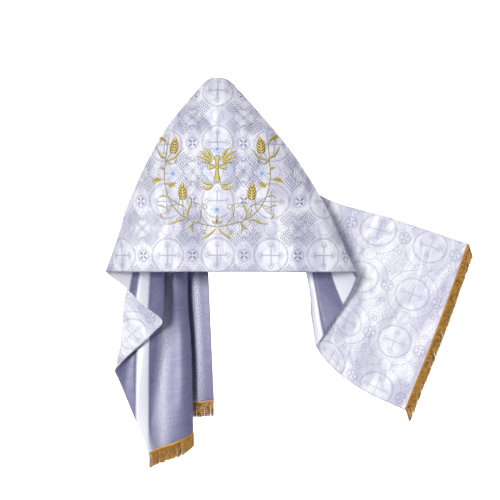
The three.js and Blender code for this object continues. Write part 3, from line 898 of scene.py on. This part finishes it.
# Light colour, dark colour of the painted shade in the grooves, pitch of the threads, their slant,
# metallic and roughness.
threadLooks = {
    "leafGold": ((232, 222, 142), (170, 154, 72), 0.9, 0.5, 0.05, 0.4),
    "earGold": ((224, 202, 100), (158, 130, 44), 0.9, 0.5, 0.05, 0.4),
    "grainGold": ((240, 214, 118), (206, 172, 74), 0.9, 0.5, 0.05, 0.4),
    "grainEdge": ((86, 66, 20), (54, 40, 10), 0.9, 0.7, 0.0, 0.5),
    "stemGold": ((174, 170, 112), (124, 120, 68), 0.9, 0.7, 0.05, 0.42),
    "shade": ((112, 92, 34), (78, 62, 20), 0.9, 0.7, 0.0, 0.5),
    "paleBlue": ((212, 228, 248), (182, 206, 238), 0.9, 0.5, 0.0, 0.38),
    "knotBlue": ((142, 186, 236), (112, 160, 222), 0.9, 0.5, 0.0, 0.38),
    "hemWhite": ((226, 227, 236), (176, 178, 196), 0.8, 0.6, 0.0, 0.45),
}
threads = {key: threadMaterial(key + "Thread", *look) for key, look in threadLooks.items()}
print("materials ready")

weave = {
    "held": (480, 700),  # the held right end takes over between these places
    "easeFrom": 580,  # beyond this one its repeats are larger
    "easeAlong": 0.17,
    "easeAcross": 0.057,
    "easeMiddle": 376,
    "leftTighter": 0.1,  # the back's left half shows them closer together
    "leftUntil": 420,
    "upperDrop": 13,  # and its upper rows sit higher
    "upperRows": (230, 360),
}


def weaveMap(u, v):
    # The flat cloth's coordinates, slowed on the held end: u less a share of what lies beyond the
    # start, and v less a share of its distance from the middle row. On the back's left half u
    # runs a little faster, and its upper rows are read from a little lower down.
    over = np.maximum(u - weave["easeFrom"], 0)
    held = smoothStep(*weave["held"], u)
    back = 1 - smoothStep(*weave["held"], np.abs(u))
    return np.stack([
        u - weave["easeAlong"] * over + weave["leftTighter"] * np.clip(u, -weave["leftUntil"], 0),
        v - weave["easeAcross"] * (v - weave["easeMiddle"]) * held
        - weave["upperDrop"] * smoothStep(*weave["upperRows"], v) * back,
    ], -1)


flatGrid = np.stack([flatU, flatV], -1)
weaveGrid = weaveMap(flatU, flatV)
toEdge = np.minimum(gridLength, generatorLength[:, None] - gridLength)
toSide = np.minimum(w - w[0], w[-1] - w)[:, None]
edge = np.exp(-np.minimum(toEdge, toSide) / veil["edgeRound"])  # 1 at an edge, 0 further in
# 1 on the turn of the hem, where painted shade darkens it, and 0 further in.
paintedHemShade = smoothStep(*veil["paintedHemShade"], generatorLength[:, None] - gridLength)


def clothPiece(name, outer, inner, mapGrid, material):
    # both faces are offset from the surface along its normals; one attribute holds the satin's
    # painted highlight streaks, and the other the painted shade along the hem
    faces = [clothSurface + clothNormals * offset[..., None] for offset in (outer, inner)]
    points, quads = wallMesh(*faces)
    uv = np.concatenate([mapGrid.reshape(-1, 2)] * 2)
    piece = makeObject(name, points, quads, material, uv)
    for label, values in (("paintedHighlight", paintedHighlightTone), ("paintedHemShade", paintedHemShade)):
        store = piece.data.attributes.new(label, "FLOAT", "POINT")
        store.data.foreach_set("value", np.concatenate([values.ravel()] * 2).astype(np.float32))
    return piece


outerShell = brocadeWall["outer"] - (brocadeWall["outer"] - brocadeWall["edgeOuter"]) * edge
innerShell = np.full_like(edge, brocadeWall["inner"])
brocade = clothPiece("veilBrocade", outerShell, innerShell, weaveGrid, brocadeMaterial())
outerLining = np.full_like(edge, liningWall["outer"])
innerLining = liningWall["inner"] - (liningWall["inner"] - liningWall["edgeInner"]) * edge
lining = clothPiece("veilLining", outerLining, innerLining, flatGrid, satinMaterial())
shellNodes = [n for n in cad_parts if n.startswith("shell_")]
liningNodes = [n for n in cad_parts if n.startswith("lining_")]
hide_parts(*shellNodes)
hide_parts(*liningNodes)
print("cloth pieces", len(brocade.data.polygons), len(lining.data.polygons))

# Every thread shape is a ring of points carried along a path.


def sweptMesh(rings):
    # rings[k] is (stations, ring points, 3); each is closed round and capped at both ends
    points, faces, count = [], [], 0
    for ring in rings:
        stations, around = ring.shape[:2]
        points.append(ring.reshape(-1, 3))
        faces += gridFaces(stations, around, count, closed=True).tolist()
        faces.append(list(range(count + around - 1, count - 1, -1)))
        last = count + (stations - 1) * around
        faces.append(list(range(last, last + around)))
        count += stations * around
    return np.concatenate(points), faces


def smoothPath(knots, count):
    # points at even steps along a smooth curve through the knots
    knots = np.array(knots, float)
    if len(knots) == 2:
        return knots[0] + (knots[1] - knots[0]) * np.linspace(0, 1, count)[:, None]
    length = runLength(knots)
    t = np.linspace(0, length[-1], count)
    return np.stack([smoothCurve(length, knots[:, n], t) for n in range(knots.shape[1])], -1)


def acrossPath(points):
    # the unit direction square to the path, on its left
    way = unit(np.gradient(points, axis=0))
    return np.stack([-way[:, 1], way[:, 0]], -1)


stitchWork = {
    "step": 3.0,  # between stations along a stitched shape
    "around": 10,  # points round its section
    "seat": 1.25,  # height of its underside, a little inside the brocade's face
    "leastHalf": 0.12,  # its half width at a pointed end
}


def stitchedShape(path, width, height, profile):
    # a raised satin-stitch shape along a path of (x, z) on the back. Its half width is width / 2
    # times the profile of t, and its section is a low arch over a flat base.
    knots = np.array(path, float)
    length = runLength(knots)[-1]
    count = max(7, int(length / stitchWork["step"]) + 2)
    middle = smoothPath(knots, count)
    t = np.linspace(0, 1, count)
    across = acrossPath(middle)
    angle = np.linspace(0, 2 * np.pi, stitchWork["around"], endpoint=False)
    half = np.maximum(width / 2 * profile(t), stitchWork["leastHalf"])
    side, rise = np.cos(angle), np.maximum(np.sin(angle), 0) ** 0.8
    flat = middle[:, None, :] + across[:, None, :] * (half[:, None] * side[None, :])[..., None]
    lift = height * np.minimum(half / (width / 2 + 1e-9), 1)[:, None] ** 0.5 * rise[None, :]
    along = np.repeat(t[:, None] * length, len(angle), axis=1)
    uv = np.stack([along, half[:, None] * side[None, :]], -1)
    return flat, lift, uv


def seatOnBack(shapes):
    # puts flat stitched shapes on the brocade of the back, and gives them as rings and uv
    rings, uvs = [], []
    for flat, lift, uv in shapes:
        wAt, rAt = backPlace(flat[..., 0], flat[..., 1])
        base, normal = onCloth(wAt, rAt, clothSurface), onCloth(wAt, rAt, clothNormals)
        rings.append(base + normal * (stitchWork["seat"] + lift)[..., None])
        uvs.append(uv.reshape(-1, 2))
    return rings, np.concatenate(uvs)


def leafProfile(t):
    # narrow at both ends, widest a little before the middle
    return np.sin(np.pi * t**0.8) ** 0.75


def stemProfile(t):
    # even, thinning over the last fifth
    return np.minimum(1, (1 - t) * 5 + 0.35)


def flareProfile(t):
    # from narrow to wide, with a rounded outer end
    return (0.34 + 0.66 * t**1.6) * np.minimum(1, np.sqrt(np.clip((1 - t) * 9, 0, 1)))


def discProfile(t):
    # a circle's half width
    return np.sqrt(np.clip(4 * t * (1 - t), 0, 1))


def curl(x, z, radius, turns, startAngle, sense):
    # a spiral that closes in: the radius falls evenly with the angle
    a = np.linspace(0, turns * 2 * np.pi, 14)
    r = radius * (1 - 0.72 * a / a[-1])
    turned = startAngle + sense * a
    return np.stack([x + r * np.cos(turned), z + r * np.sin(turned)], -1)


# The wreath's right half; the left half is its mirror image. Points are (out, z) on the back, a
# leaf's last number is its width, and a size is a thread's width and height.
wreath = {
    "mainStemSize": (3.0, 1.1),
    "stemSize": (2.2, 0.9),
    "curlSize": (2.3, 0.9),
    "tipSize": (4.5, 1.0),
    "mainStem": ((0, -462), (42, -454), (84, -441), (119, -416), (147, -372), (160, -316),
                 (157, -256), (151, -200), (147, -172)),
    "stems": (
        ((84, -441), (104, -398), (128, -394), (156, -420), (172, -421)),
        ((147, -372), (120, -390), (96, -400)),
        ((100, -428), (104, -400), (106, -372)),
        ((160, -316), (176, -318), (182, -320)),
        ((158, -330), (146, -333)),
        ((157, -262), (142, -240), (132, -226)),
        ((151, -216), (164, -196), (170, -190)),
        ((159, -290), (172, -284)),
        ((157, -258), (140, -268)),
        ((119, -416), (112, -370), (100, -330)),
        ((160, -300), (146, -300), (138, -301)),
        ((8, -462), (3, -440), (0, -420)),
    ),
    # middle, radius, turns, start angle, sense, and two points that lead to it
    "curls": (
        (38, -402, 11, 1.25, -0.6, 1, (26, -457), (48, -424)),
        (60, -398, 9, 1.2, -2.6, -1, (52, -452), (50, -420)),
        (40, -478, 7, 1.15, 2.2, -1, (30, -456), (32, -468)),
        (150, -404, 7, 1.1, 2.6, -1, (134, -398), (142, -396)),
    ),
    "longLeaves": (
        (((152, -259), (174, -240), (190, -212)), 7.5),
        (((152, -259), (130, -252), (114, -236), (100, -222)), 7.5),
        (((88, -441), (91, -420), (81, -396), (78, -373)), 7.5),
        (((90, -441), (112, -440), (134, -450), (158, -453)), 7.0),
        (((2, -465), (20, -482), (34, -490), (52, -503)), 7.0),
        (((152, -205), (170, -186), (182, -208)), 5.0),
        (((70, -446), (78, -462), (72, -486)), 6.0),
        (((70, -446), (86, -464), (96, -470)), 5.0),
        (((172, -421), (166, -432), (160, -438)), 6.0),
        (((156, -404), (172, -396), (182, -398)), 5.0),
        (((147, -372), (166, -366), (178, -374)), 5.0),
    ),
    "smallLeaves": (
        (((158, -285), (168, -280), (178, -282)), 6.0),
        (((157, -250), (168, -246), (176, -250)), 5.0),
        (((157, -262), (146, -268), (130, -270)), 6.0),
        (((130, -270), (126, -262), (124, -254)), 5.0),
        (((4, -452), (12, -446), (16, -440)), 5.0),
        (((0, -456), (0, -448), (0, -438)), 5.5),
        (((172, -190), (176, -180), (184, -176)), 6.0),
    ),
    "fullLeaves": (
        (((170, -318), (184, -318), (200, -326)), 15.0),
        (((146, -342), (136, -334), (124, -328)), 15.0),
        (((166, -196), (177, -185), (190, -186)), 12.0),
    ),
    "ears": (((133, -235), (127, -188)), ((103, -376), (106, -329))),
    "stars": ((134, -300, 21), (0, -409, 23)),
    "tips": (((147, -172), (140, -158), (136, -148)), ((147, -172), (150, -158), (156, -152))),
}


def mirrored(path, sign):
    # the path itself, or its mirror image where the sign is -1
    return np.array(path, float) * (sign, 1)


def even(t):
    # the same width all along
    return np.ones_like(t)


def alongside(path, offset):
    # a path moved sideways by a share of an arch, so that it stays inside the leaf's ends
    path = smoothPath(path, 7)
    arch = np.sin(np.pi * np.linspace(0.06, 0.94, 7))[:, None]
    return path + acrossPath(path) * offset * arch


leaf = {"height": 1.3, "vein": (1.9, 1.9), "edge": 0.36}  # the shaded edge's share of the width


def addLeaf(shapes, key, path, width, vein):
    # a leaf with a shaded edge on its lower side, or a vein down its middle
    shapes[key].append(stitchedShape(path, width, leaf["height"], leafProfile))
    path = np.array(path, float)
    lower = -1 if path[-1][0] > path[0][0] else 1
    offset = 0.0 if vein else lower * width * leaf["edge"]
    shapes["shade"].append(stitchedShape(alongside(path, offset), *leaf["vein"], leafProfile))


def grainProfile(t):
    # blunt at its root, pointed at its end
    return np.sin(np.pi * (0.25 + 0.75 * t)) ** 0.6


ear = {
    "pairs": 5,
    "lastPair": 0.72,  # its place, as a share of the ear's height
    "reach": 13.0,
    "grain": (6.4, 1.4),  # width and height
    "bend": (4.6, 0.58),  # how far up, and the share of the reach
    "edge": (2.8, 2.0),
    "edgeShift": (0.45, -0.9, 4.2),  # outwards, up, and how far
    "top": (5.4, 1.5),
}


def addEar(shapes, base, tip):
    # grains point up and out from the middle line, under a pointed leaf-shaped outline: their
    # reach is the sine of the end's share of the ear's height; dark threads part them
    base, tip = np.array(base, float), np.array(tip, float)
    height = np.linalg.norm(tip - base)
    way = (tip - base) / height
    across = np.array([way[1], -way[0]])
    bendUp, bendOut = ear["bend"]
    shiftOut, shiftUp, shift = ear["edgeShift"]
    for k in np.linspace(0, ear["lastPair"], ear["pairs"]):
        root = base + way * height * k
        reach = ear["reach"] * np.sin(np.pi * (k + 0.22) ** 0.8) ** 0.8
        for sign in (-1, 1):
            bend = root + way * bendUp + sign * across * reach * bendOut
            end = root + way * ear["reach"] + sign * across * reach
            grain = np.array((root, bend, end))
            below = grain + (sign * across * shiftOut + way * shiftUp) * shift
            shapes["grainGold"].append(stitchedShape(grain, *ear["grain"], grainProfile))
            shapes["grainEdge"].append(stitchedShape(below, *ear["edge"], grainProfile))
    top = (tip - way * 12, tip + way * 3)
    shapes["grainGold"].append(stitchedShape(top, *ear["top"], leafProfile))


star = {"petals": 8, "short": 0.78, "petal": (4.2, 1.0), "core": (2.0, 1.6), "coreReach": 0.3}


def addStar(shapes, x, z, radius):
    # narrow petals, long and short in turn, round a darker knot
    for k in range(star["petals"]):
        angle = np.pi / 2 + k * 2 * np.pi / star["petals"]
        reach = radius * (1 if k % 2 == 0 else star["short"])
        way = np.array([np.cos(angle), np.sin(angle)])
        start = np.array([x, z]) + way * 2
        petal = (start, start + way * reach)
        core = (start - way, start + way * reach * star["coreReach"])
        shapes["paleBlue"].append(stitchedShape(petal, *star["petal"], leafProfile))
        shapes["knotBlue"].append(stitchedShape(core, *star["core"], leafProfile))


def addWreath(shapes):
    # both halves, thread by thread; a star on the middle line comes once
    stem = shapes["stemGold"]
    for sign in (1, -1):
        mainStem = mirrored(wreath["mainStem"], sign)
        stem.append(stitchedShape(mainStem, *wreath["mainStemSize"], stemProfile))
        for path in wreath["stems"]:
            stem.append(stitchedShape(mirrored(path, sign), *wreath["stemSize"], stemProfile))
        for x, z, radius, turns, start, sense, *lead in wreath["curls"]:
            path = np.concatenate([lead, curl(x, z, radius, turns, start, sense)])
            stem.append(stitchedShape(mirrored(path, sign), *wreath["curlSize"], stemProfile))
        for path, width in wreath["longLeaves"] + wreath["smallLeaves"]:
            addLeaf(shapes, "leafGold", mirrored(path, sign), width, False)
        for path, width in wreath["fullLeaves"]:
            addLeaf(shapes, "earGold", mirrored(path, sign), width, True)
        for base, tip in wreath["ears"]:
            addEar(shapes, mirrored(base, sign), mirrored(tip, sign))
        for x, z, radius in wreath["stars"]:
            if x or sign > 0:
                addStar(shapes, x * sign, z, radius)
        for path in wreath["tips"]:
            tip = stitchedShape(mirrored(path, sign), *wreath["tipSize"], leafProfile)
            shapes["paleBlue"].append(tip)


# The middle ornament: a plain cross with flared arms between gold leaf fans, with light blue
# scrolls at its foot and a blue star over it. Half of it is listed; the rest is its mirror image.
ornament = {
    "centre": (0, -280),
    "arms": ((90, 32), (-90, 46), (0, 27), (180, 27)),  # degrees and length
    "armWidth": 20,
    "armHeight": 1.4,
    "cord": (1.5, 1.7),  # width and height of the cord round the arms
    "ring": (5.5, 3.0, 2.0),  # radius, width and height
    "knot": (4.4, 8.4, 1.8),  # half length, width and height
    "scrollSize": (5.0, 1.2),
    "scrollCore": (1.2, 1.7),
    "star": (0, -226, 15),
    "fans": (
        (((14, -260), (22, -236), (40, -221)), 11.0),
        (((14, -262), (32, -243), (55, -231)), 11.0),
        (((15, -265), (37, -254), (60, -248)), 10.0),
        (((15, -268), (34, -265), (52, -264)), 8.0),
        (((10, -336), (28, -346), (52, -338)), 10.5),
        (((10, -333), (28, -331), (48, -321)), 9.0),
    ),
    "scrolls": (
        ((6, -334), (26, -322), (42, -304), (46, -286), (38, -276), (30, -282), (34, -290)),
        ((8, -252), (16, -246), (22, -234), (16, -224), (9, -230), (13, -237)),
    ),
}


def addOrnament(shapes):
    # each arm with a cord along its sides and over its bowed end, a ring and a knot on the middle,
    # and then fans and scrolls on both sides
    centre = np.array(ornament["centre"], float)
    half = ornament["armWidth"] / 2
    for degrees, length in ornament["arms"]:
        way = np.array([np.cos(np.radians(degrees)), np.sin(np.radians(degrees))])
        across = np.array([-way[1], way[0]])
        arm = (centre + way * 3, centre + way * length)
        size = (ornament["armWidth"], ornament["armHeight"])
        shapes["leafGold"].append(stitchedShape(arm, *size, flareProfile))
        for sign in (-1, 1):
            t = np.linspace(0, 0.95, 6)[:, None]
            aside = sign * across * half * (0.36 + 0.66 * t**1.6)
            rim = centre + way * (3 + (length - 3) * t) + aside
            shapes["shade"].append(stitchedShape(rim, *ornament["cord"], even))
        t = np.linspace(-1, 1, 5)[:, None]
        rim = centre + way * (length - 0.5 + 2.5 * (1 - t * t)) + across * half * t
        shapes["shade"].append(stitchedShape(rim, *ornament["cord"], even))
    angle = np.linspace(0, 2 * np.pi, 12)
    radius, *size = ornament["ring"]
    ring = centre + radius * np.stack([np.cos(angle), np.sin(angle)], -1)
    shapes["earGold"].append(stitchedShape(ring, *size, even))
    halfLength, *size = ornament["knot"]
    knot = (centre - (halfLength, 0), centre + (halfLength, 0))
    shapes["leafGold"].append(stitchedShape(knot, *size, discProfile))
    for sign in (1, -1):
        for path, width in ornament["fans"]:
            addLeaf(shapes, "leafGold", mirrored(path, sign), width, False)
        for path in ornament["scrolls"]:
            path = mirrored(path, sign)
            shapes["paleBlue"].append(stitchedShape(path, *ornament["scrollSize"], stemProfile))
            shapes["knotBlue"].append(stitchedShape(path, *ornament["scrollCore"], stemProfile))
    addStar(shapes, *ornament["star"])


pieceNames = {
    "leafGold": "embroideryLeaves",
    "earGold": "embroideryFullLeaves",
    "grainGold": "embroideryEars",
    "grainEdge": "embroideryEarEdges",
    "stemGold": "embroideryStems",
    "shade": "embroideryShading",
    "paleBlue": "embroideryStars",
    "knotBlue": "embroideryKnots",
}
stitched = {key: [] for key in pieceNames}
addWreath(stitched)
addOrnament(stitched)
for key, name in pieceNames.items():
    rings, uv = seatOnBack(stitched[key])
    points, faces = sweptMesh(rings)
    piece = makeObject(name, points, faces, threads[key], uv)

# A row of short stitches runs inside every edge of the brocade.
hem = {
    "inset": 7.0,
    "pitch": 5.0,
    "stitch": 3.6,
    "stations": 4,
    "thickness": 0.55,
    "around": 5,
    "seat": 1.15,
    "rise": 0.45,
    "endLength": 900,  # rough length of the end edges, whose corners are left free by the inset
}


def hemLine(name):
    # the line that lies the inset away from one edge, as (w, r) at many stations
    inset = hem["inset"]
    if name in ("neck", "lower"):
        wanted = np.full(len(w), inset) if name == "neck" else generatorLength - inset
        r = np.array([np.interp(a, row, rowShares) for a, row in zip(wanted, gridLength)])
        keep = (w > w[0] + inset) & (w < w[-1] - inset)
        return w[keep], r[keep]
    wAt = w[0] + inset if name == "leftEnd" else w[-1] - inset
    free = inset / hem["endLength"]
    r = rowShares[(rowShares > free) & (rowShares < 1 - free)]
    return np.full(len(r), wAt), r


def hemStitches():
    # each stitch is a short thread that dips into the cloth at both ends
    rings, uvs = [], []
    for name in ("neck", "lower", "leftEnd", "rightEnd"):
        wLine, rLine = hemLine(name)
        line = onCloth(wLine, rLine, clothSurface)
        normal = onCloth(wLine, rLine, clothNormals)
        length = runLength(line)
        starts = np.arange(1, length[-1] - hem["pitch"], hem["pitch"])
        t = np.linspace(0, 1, hem["stations"])
        at = starts[:, None] + t[None, :] * hem["stitch"]
        place = atLengths(at, length, line)
        up = unit(atLengths(at, length, normal))
        way = unit(place[:, -1:, :] - place[:, :1, :])
        across = np.cross(up, way)
        lift = hem["seat"] + hem["rise"] * np.sin(np.pi * t)
        middle = place + up * lift[None, :, None]
        angle = np.linspace(0, 2 * np.pi, hem["around"], endpoint=False)
        ring = middle[:, :, None, :] + hem["thickness"] * (
            across[:, :, None, :] * np.cos(angle)[None, None, :, None]
            + up[:, :, None, :] * np.sin(angle)[None, None, :, None]
        )
        rings.append(ring)
        uvs.append(stacked(at[:, :, None], angle[None, None, :]).reshape(-1, 2))
    return np.concatenate(rings), np.concatenate(uvs)


stitchRings, stitchUv = hemStitches()
points, faces = sweptMesh(list(stitchRings))
hemPiece = makeObject("hemStitching", points, faces, threads["hemWhite"], stitchUv)
print("hem stitches", len(stitchRings))

# The bullion fringe has a braided head and twisted strands, on both ends.
fringe = {
    "gap": 0.3,  # between the cloth and the head
    "headWidth": 8.0,
    "headHalf": 1.5,
    "headStations": 260,
    "headAround": 12,
    "braidPitch": 5.0,
    "braidSwell": 0.16,
    "strandLength": {"left": 46.0, "right": 42.0},
    "strandRoot": 2.5,  # how deep a strand starts inside the head
    "strandRadius": 2.6,
    "lobes": 2,
    "lobeDepth": 0.2,  # as a share of the radius
    "endTaper": 0.25,
    "twistPitch": 15.0,  # length of one whole turn of a strand
    "strands": {"left": 118, "right": 76},
    "lean": {"left": (0, 0.02, -1), "right": (0.3, 0, -1)},
    "leanSpread": (0.014, 0.0084, 0),  # strands differ by this much in lean
    "lengthSpread": 0.08,  # and by this share in length
    "seed": {"left": 7, "right": 11},
    "margin": 0.006,  # the outermost strands' distance from the corners, as a share
    "stations": 15,
    "around": 9,
}


def endEdge(side):
    # the end edge from the hem corner to the neck corner: points, outward normals, and the
    # direction off the cloth, square to both the edge and the normal
    if side == "left":
        corner = -drapes["left"]["place"][list(leftDrape).index("hemCorner")]
        line = w[w <= corner + 1e-6][::-1]
        point, normal = clothSurface[: len(line), -1][::-1], clothNormals[: len(line), -1][::-1]
    else:
        point, normal = clothSurface[-1][::-1], clothNormals[-1][::-1]
    off = unit(np.cross(np.gradient(point, axis=0), normal))
    return point, normal, -off if side == "left" else off


def alongEdge(edge, share):
    # point, normal and off at the shares of the edge's length, and those lengths
    length = runLength(edge[0])
    at = share * length[-1]
    point, normal, off = (atLengths(at, length, rows) for rows in edge)
    return point, unit(normal), unit(off), at


def fringeHead(side):
    # a flat braid: its section is a flattened oval whose thickness swells with the braid
    point, normal, off, at = alongEdge(endEdge(side), np.linspace(0, 1, fringe["headStations"]))
    angle = np.linspace(0, 2 * np.pi, fringe["headAround"], endpoint=False)
    braid = np.cos(2 * np.pi * at[:, None] / fringe["braidPitch"] + 3 * angle[None, :])
    swell = 1 + fringe["braidSwell"] * braid
    half = fringe["headWidth"] / 2
    middle = point + off * (fringe["gap"] + half)
    wide = np.sign(np.cos(angle)) * np.abs(np.cos(angle)) ** 0.6 * half
    high = np.sign(np.sin(angle)) * np.abs(np.sin(angle)) ** 0.7 * fringe["headHalf"]
    ring = middle[:, None] + off[:, None] * wide[None, :, None]
    ring = ring + normal[:, None] * (high[None, :] * swell)[..., None]
    uv = stacked(at[:, None], angle[None, :] * 2.0)
    return (ring, uv) if side == "left" else (ring[:, ::-1], uv[:, ::-1])


def fringeStrands(side):
    # each strand hangs from inside the head; its section has lobes that turn along its length,
    # and strands differ a little in length, lean and turn
    count = fringe["strands"][side]
    share = fringe["margin"] + (1 - 2 * fringe["margin"]) * np.arange(count) / (count - 1)
    point, normal, off, at = alongEdge(endEdge(side), share)
    rng = np.random.default_rng(fringe["seed"][side])
    spread = rng.normal(0, 1, (count, 3)) * fringe["leanSpread"]
    lean = unit(np.array(fringe["lean"][side]) + spread)
    start = point + off * (fringe["gap"] + fringe["headWidth"] - fringe["strandRoot"])
    length = fringe["strandLength"][side] + fringe["strandRoot"]
    length = length * (1 - fringe["lengthSpread"] * rng.random(count))
    across = unit(np.cross(lean, normal))
    face = np.cross(lean, across)
    t = np.linspace(0, 1, fringe["stations"])
    angle = np.linspace(0, 2 * np.pi, fringe["around"], endpoint=False)
    reach = length[:, None] * t[None, :]
    turn = 2 * np.pi * (reach / fringe["twistPitch"]) + rng.random(count)[:, None] * 6
    taper = 1 - fringe["endTaper"] * smoothStep(0.9, 1.0, t)
    lobes = np.cos(fringe["lobes"] * (angle[None, None, :] - turn[:, :, None]))
    radius = fringe["strandRadius"] * taper[None, :, None] * (1 + fringe["lobeDepth"] * lobes)
    middle = start[:, None] + lean[:, None] * reach[..., None]
    ring = middle[:, :, None] + across[:, None, None] * (radius * np.cos(angle))[..., None]
    ring = ring + face[:, None, None] * (radius * np.sin(angle))[..., None]
    # the map's first axis turns with the twist, so that the stripes of painted shade lie in the
    # grooves; each strand starts some whole turns further on, so that no two are mottled alike
    turned = turn / (2 * np.pi) + 0.5 / fringe["lobes"] + 6 * np.arange(count)[:, None]
    along, girth = turned * fringe["twistPitch"], angle * fringe["strandRadius"]
    return ring, stacked(along[:, :, None], girth[None, None, :])


# The stripes of painted shade on the strands' thread follow the grooves between the lobes.
groovePitch = fringe["twistPitch"] / fringe["lobes"]
grooveSlant = -fringe["twistPitch"] / (2 * np.pi * fringe["strandRadius"])
fringeThread = threadMaterial(
    "bullionThread", (216, 158, 56), (34, 20, 3), groovePitch, grooveSlant, 0.3, 0.42,
    groove=0.36, mottleFloor=0.1, mottle=110,
)
braidThread = threadMaterial("braidThread", (206, 148, 52), (150, 98, 28), 1.2, 0.9, 0.35, 0.38)
for side in ("left", "right"):
    head, headUv = fringeHead(side)
    strands, strandUv = fringeStrands(side)
    headPoints, headFaces = sweptMesh([head])
    strandPoints, strandFaces = sweptMesh(list(strands))
    headUv, strandUv = headUv.reshape(-1, 2), strandUv.reshape(-1, 2)
    end = side.title()
    braid = makeObject("fringeBraid" + end, headPoints, headFaces, braidThread, headUv)
    cords = makeObject("fringeStrands" + end, strandPoints, strandFaces, fringeThread, strandUv)
    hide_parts(f"fringe_{side}")

# The stage, in metres: a floor that turns up into a wall.
stage = {
    "floor": -1.5,
    "back": 2.6,
    "sweep": 1.2,  # radius of the turn
    "front": -5.0,
    "half": 6.0,
    "top": 4.0,
    "tones": ((0.94, 0.94, 0.94, 1), (0.97, 0.97, 0.97, 1)),
}


def stageProfile():
    # floor, a quarter circle, and a wall, as (y, z)
    angle = np.linspace(-np.pi / 2, 0, 16)
    y = stage["back"] - stage["sweep"] + stage["sweep"] * np.cos(angle)
    z = stage["floor"] + stage["sweep"] + stage["sweep"] * np.sin(angle)
    start, end = [[stage["front"], stage["floor"]]], [[stage["back"], stage["top"]]]
    return np.concatenate([start, np.stack([y, z], -1), end])


def makeStage():
    # the profile drawn out sideways; the wall is clear from behind, so that it never stands
    # before the veil
    material, s, bsdf = newMaterial("paleStage")
    where = s.node("ShaderNodeTexCoord").outputs["Object"]
    tone = s.mix(s.noise(where, 1.5, 1.0), *stage["tones"])
    s.tree.links.new(tone, bsdf.inputs["Base Color"])
    bsdf.inputs["Roughness"].default_value = 0.9
    behind = s.node("ShaderNodeNewGeometry").outputs["Backfacing"]
    clear = s.node("ShaderNodeBsdfTransparent").outputs[0]
    surface = s.node("ShaderNodeMixShader", {0: behind, 1: bsdf.outputs[0], 2: clear}).outputs[0]
    s.tree.links.new(surface, s.tree.nodes["Material Output"].inputs["Surface"])
    profile = stageProfile()
    x = np.array([-stage["half"], stage["half"]])
    grid = stacked(x[:, None], profile[None, :, 0], profile[None, :, 1])
    mesh = bpy.data.meshes.new("stage")
    mesh.from_pydata(grid.reshape(-1, 3).tolist(), [], gridFaces(2, len(profile))[:, ::-1].tolist())
    mesh.polygons.foreach_set("use_smooth", np.full(len(mesh.polygons), True))
    mesh.materials.append(material)
    piece = bpy.data.objects.new("stage", mesh)
    bpy.context.scene.collection.objects.link(piece)


lights = {
    "fill": {
        "place": (3.2, -4.2, 0.4), "target": (0.1, 0, -0.6),
        "size": 2.4, "power": 8, "colour": (0.95, 0.96, 1.0),
    },
    "backdrop": {
        "place": (0.1, 1.0, 1.3), "target": (0.1, 2.6, 0.72),
        "size": 1.6, "power": 108, "colour": (1.0, 1.0, 1.0),
    },
}
sunLight = {
    "place": (-1.6, -5.9, 0.15), "target": (0.1, 0, -0.5),
    "softness": 0.16, "strength": 2.58, "colour": (1.0, 0.985, 0.935),
}
world = {"colour": (0.76, 0.78, 1.0, 1), "strength": 0.3}
view = {"place": (0.099, -3.130, -0.531), "lens": 72, "sensor": 36}


def aim(thing, place, target):
    # the object's -Z axis towards the target
    thing.location = place
    thing.rotation_euler = (Vector(target) - Vector(place)).to_track_quat("-Z", "Y").to_euler()


def addLamp(lamp, light):
    # places a lamp, gives it its colour and turns it to its target
    lamp.color = light["colour"]
    holder = bpy.data.objects.new(lamp.name, lamp)
    bpy.context.scene.collection.objects.link(holder)
    aim(holder, light["place"], light["target"])


def makeLights():
    # soft square lamps and the sun; the camera sees a plain white world, and the veil a bluish one
    for name, light in lights.items():
        lamp = bpy.data.lights.new(name, "AREA")
        lamp.shape, lamp.size, lamp.energy = "SQUARE", light["size"], light["power"]
        addLamp(lamp, light)
    sun = bpy.data.lights.new("key", "SUN")
    sun.energy, sun.angle = sunLight["strength"], sunLight["softness"]
    addLamp(sun, sunLight)
    sky = bpy.data.worlds.new("studio")
    sky.use_nodes = True
    s = Shader(sky.node_tree)
    light = sky.node_tree.nodes["Background"]
    light.inputs["Color"].default_value = world["colour"]
    light.inputs["Strength"].default_value = world["strength"]
    plain = s.node("ShaderNodeBackground", {"Color": (1, 1, 1, 1), "Strength": 1.0})
    seen = s.node("ShaderNodeLightPath").outputs["Is Camera Ray"]
    shaders = {0: seen, 1: light.outputs[0], 2: plain.outputs[0]}
    both = s.node("ShaderNodeMixShader", shaders).outputs[0]
    s.tree.links.new(both, sky.node_tree.nodes["World Output"].inputs["Surface"])
    bpy.context.scene.world = sky


def makeCamera():
    # a level camera that looks along +Y
    data = bpy.data.cameras.new("camera")
    data.lens, data.sensor_width = view["lens"], view["sensor"]
    camera = bpy.data.objects.new("camera", data)
    bpy.context.scene.collection.objects.link(camera)
    x, y, z = view["place"]
    aim(camera, view["place"], (x, y + 1, z))
    bpy.context.scene.camera = camera


makeStage()
makeLights()
makeCamera()
bpy.context.scene.view_settings.view_transform = "Standard"
print("stage, lights and camera ready")
